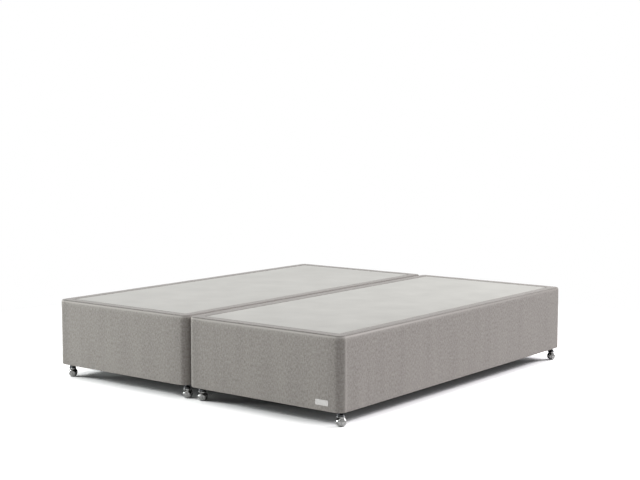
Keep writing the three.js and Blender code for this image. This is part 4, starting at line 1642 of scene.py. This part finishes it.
@dataclass
class Studio:
    """A white sweep in an evenly lit room, with a low lamp at the front left and a window behind."""

    paper_white: float = 0.82
    shown_white: float = 2.5
    fill: float = 0.48
    reach: float = 30.0
    # The floor's contact shadow: how far it looks round, and from how little open room to how much it fades
    shadow_reach: float = 160 * MM
    shadow_span: tuple[float, float] = (0.217, 0.285)
    shadow_share: tuple[float, float] = (0.245, 1.0)
    # Between these distances the floor runs into the white of the world
    fade_span: tuple[float, float] = (1.9, 2.9)
    lamps: tuple[Lamp, ...] = (
        Lamp("left_lamp", (-7.2, -4.4, 1.15), 2.3, 506.0, (0.955, 1.0, 0.985)),
        Lamp("top_lamp", (1.1, 1.1, 1.7), 0.9, 6.0),
    )

    def build(self) -> None:
        """Sets up the floor, the world, the lights and the camera."""
        self.floor()
        self.world()
        for item in (*self.lamps, Window(), Viewpoint()):
            item.build()
        bpy.context.scene.view_settings.view_transform = "Standard"

    def seen(self, tree: NodeTree) -> NodeSocket:
        """Whether a ray comes from the camera, a mirror or glass, as 0 or 1."""
        found: NodeSocket | float = 0.0
        for kind in ("Camera", "Glossy", "Transmission"):
            ray = add_node(tree, "ShaderNodeLightPath", out=f"Is {kind} Ray")
            found = add_node(tree, "ShaderNodeMath", {0: found, 1: ray}, operation="MAXIMUM")
        return found

    def floor(self) -> None:
        """Makes a matt white floor, which looks a little brighter than it lights, to meet the background."""
        mesh = bpy.data.meshes.new("floor")
        corners = [(x * self.reach, y * self.reach, 0) for x, y in ((-1, -1), (1, -1), (1, 1), (-1, 1))]
        mesh.from_pydata(corners, [], [(0, 1, 2, 3)])
        made = bpy.data.materials.new("white_paper_sweep")
        made.use_nodes = True
        tree = made.node_tree
        tree.nodes.clear()
        seen = self.seen(tree)
        # It is shown so bright that the lamps' shadows vanish, except where little of the room is in sight.
        inputs = {"Distance": self.shadow_reach}
        open_room = add_node(tree, "ShaderNodeAmbientOcclusion", inputs, out="AO", samples=64)
        near = remap(tree, open_room, self.shadow_span, self.shadow_share, "SMOOTHSTEP")
        paper, shown = [(value, value, value, 1) for value in (self.paper_white, self.shown_white)]
        shown = blend_colours(tree, near, (0, 0, 0, 1), shown)
        matt = add_node(tree, "ShaderNodeBsdfDiffuse", {"Color": blend_colours(tree, seen, paper, shown)})
        far = add_node(tree, "ShaderNodeVectorMath", {0: solid_place(tree)}, out="Value", operation="LENGTH")
        beyond = remap(tree, far, self.fade_span, (0.0, 1.0))
        share = add_node(tree, "ShaderNodeMath", {0: beyond, 1: seen}, operation="MULTIPLY")
        glow = add_node(tree, "ShaderNodeEmission", {"Color": (1, 1, 1, 1), "Strength": 1.0})
        mixed = add_node(tree, "ShaderNodeMixShader", {0: share, 1: matt, 2: glow})
        set_inputs(tree.nodes.new("ShaderNodeOutputMaterial"), Surface=mixed)
        mesh.materials.append(made)
        add_to_scene("floor", mesh)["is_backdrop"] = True

    def world(self) -> None:
        """Lights the room evenly and shows white behind the object and in its reflections."""
        world = bpy.data.worlds.new("studio")
        bpy.context.scene.world = world
        world.use_nodes = True
        tree = world.node_tree
        strength = remap(tree, self.seen(tree), (0.0, 1.0), (self.fill, 1.0))
        set_inputs(tree.nodes["Background"], Color=(1, 1, 1, 1), Strength=strength)


def report(*pieces: Object) -> None:
    """Logs the names of pieces that are made."""
    for piece in pieces:
        log.info("%s", piece.name)


def write_size(label: str, sizes: dict[str, list[list[float]]]) -> None:
    """Notes the shown object's bounds under a label."""
    low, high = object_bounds()
    sizes[label] = [list(low), list(high)]


def main() -> None:
    """Builds each sub-assembly in turn and reports its pieces."""
    logging.basicConfig(level=logging.INFO, format="%(message)s")
    sizes: dict[str, list[list[float]]] = {}
    write_size("cad", sizes)
    for side in Side:
        report(SideCover(side).build(), TopBand(side).build(), PlatformCloth(side).build())
        report(Stitching(side, "border_seam", inset=9.0 * MM, height=395.2 * MM).build())
        report(Stitching(side, "band_seam", inset=58.6 * MM, height=398.0 * MM).build())
        report(*DustCover(side).build())
    report(*build_castors())
    for end, sign in (("front", -1), ("rear", 1)):
        report(*LinkBar(end, sign).build())
    report(FrontPlate().build())
    log.info("%d timber pieces finished", finish_timber())
    Studio().build()
    write_size("shown", sizes)


if __name__ == "__main__":
    main()
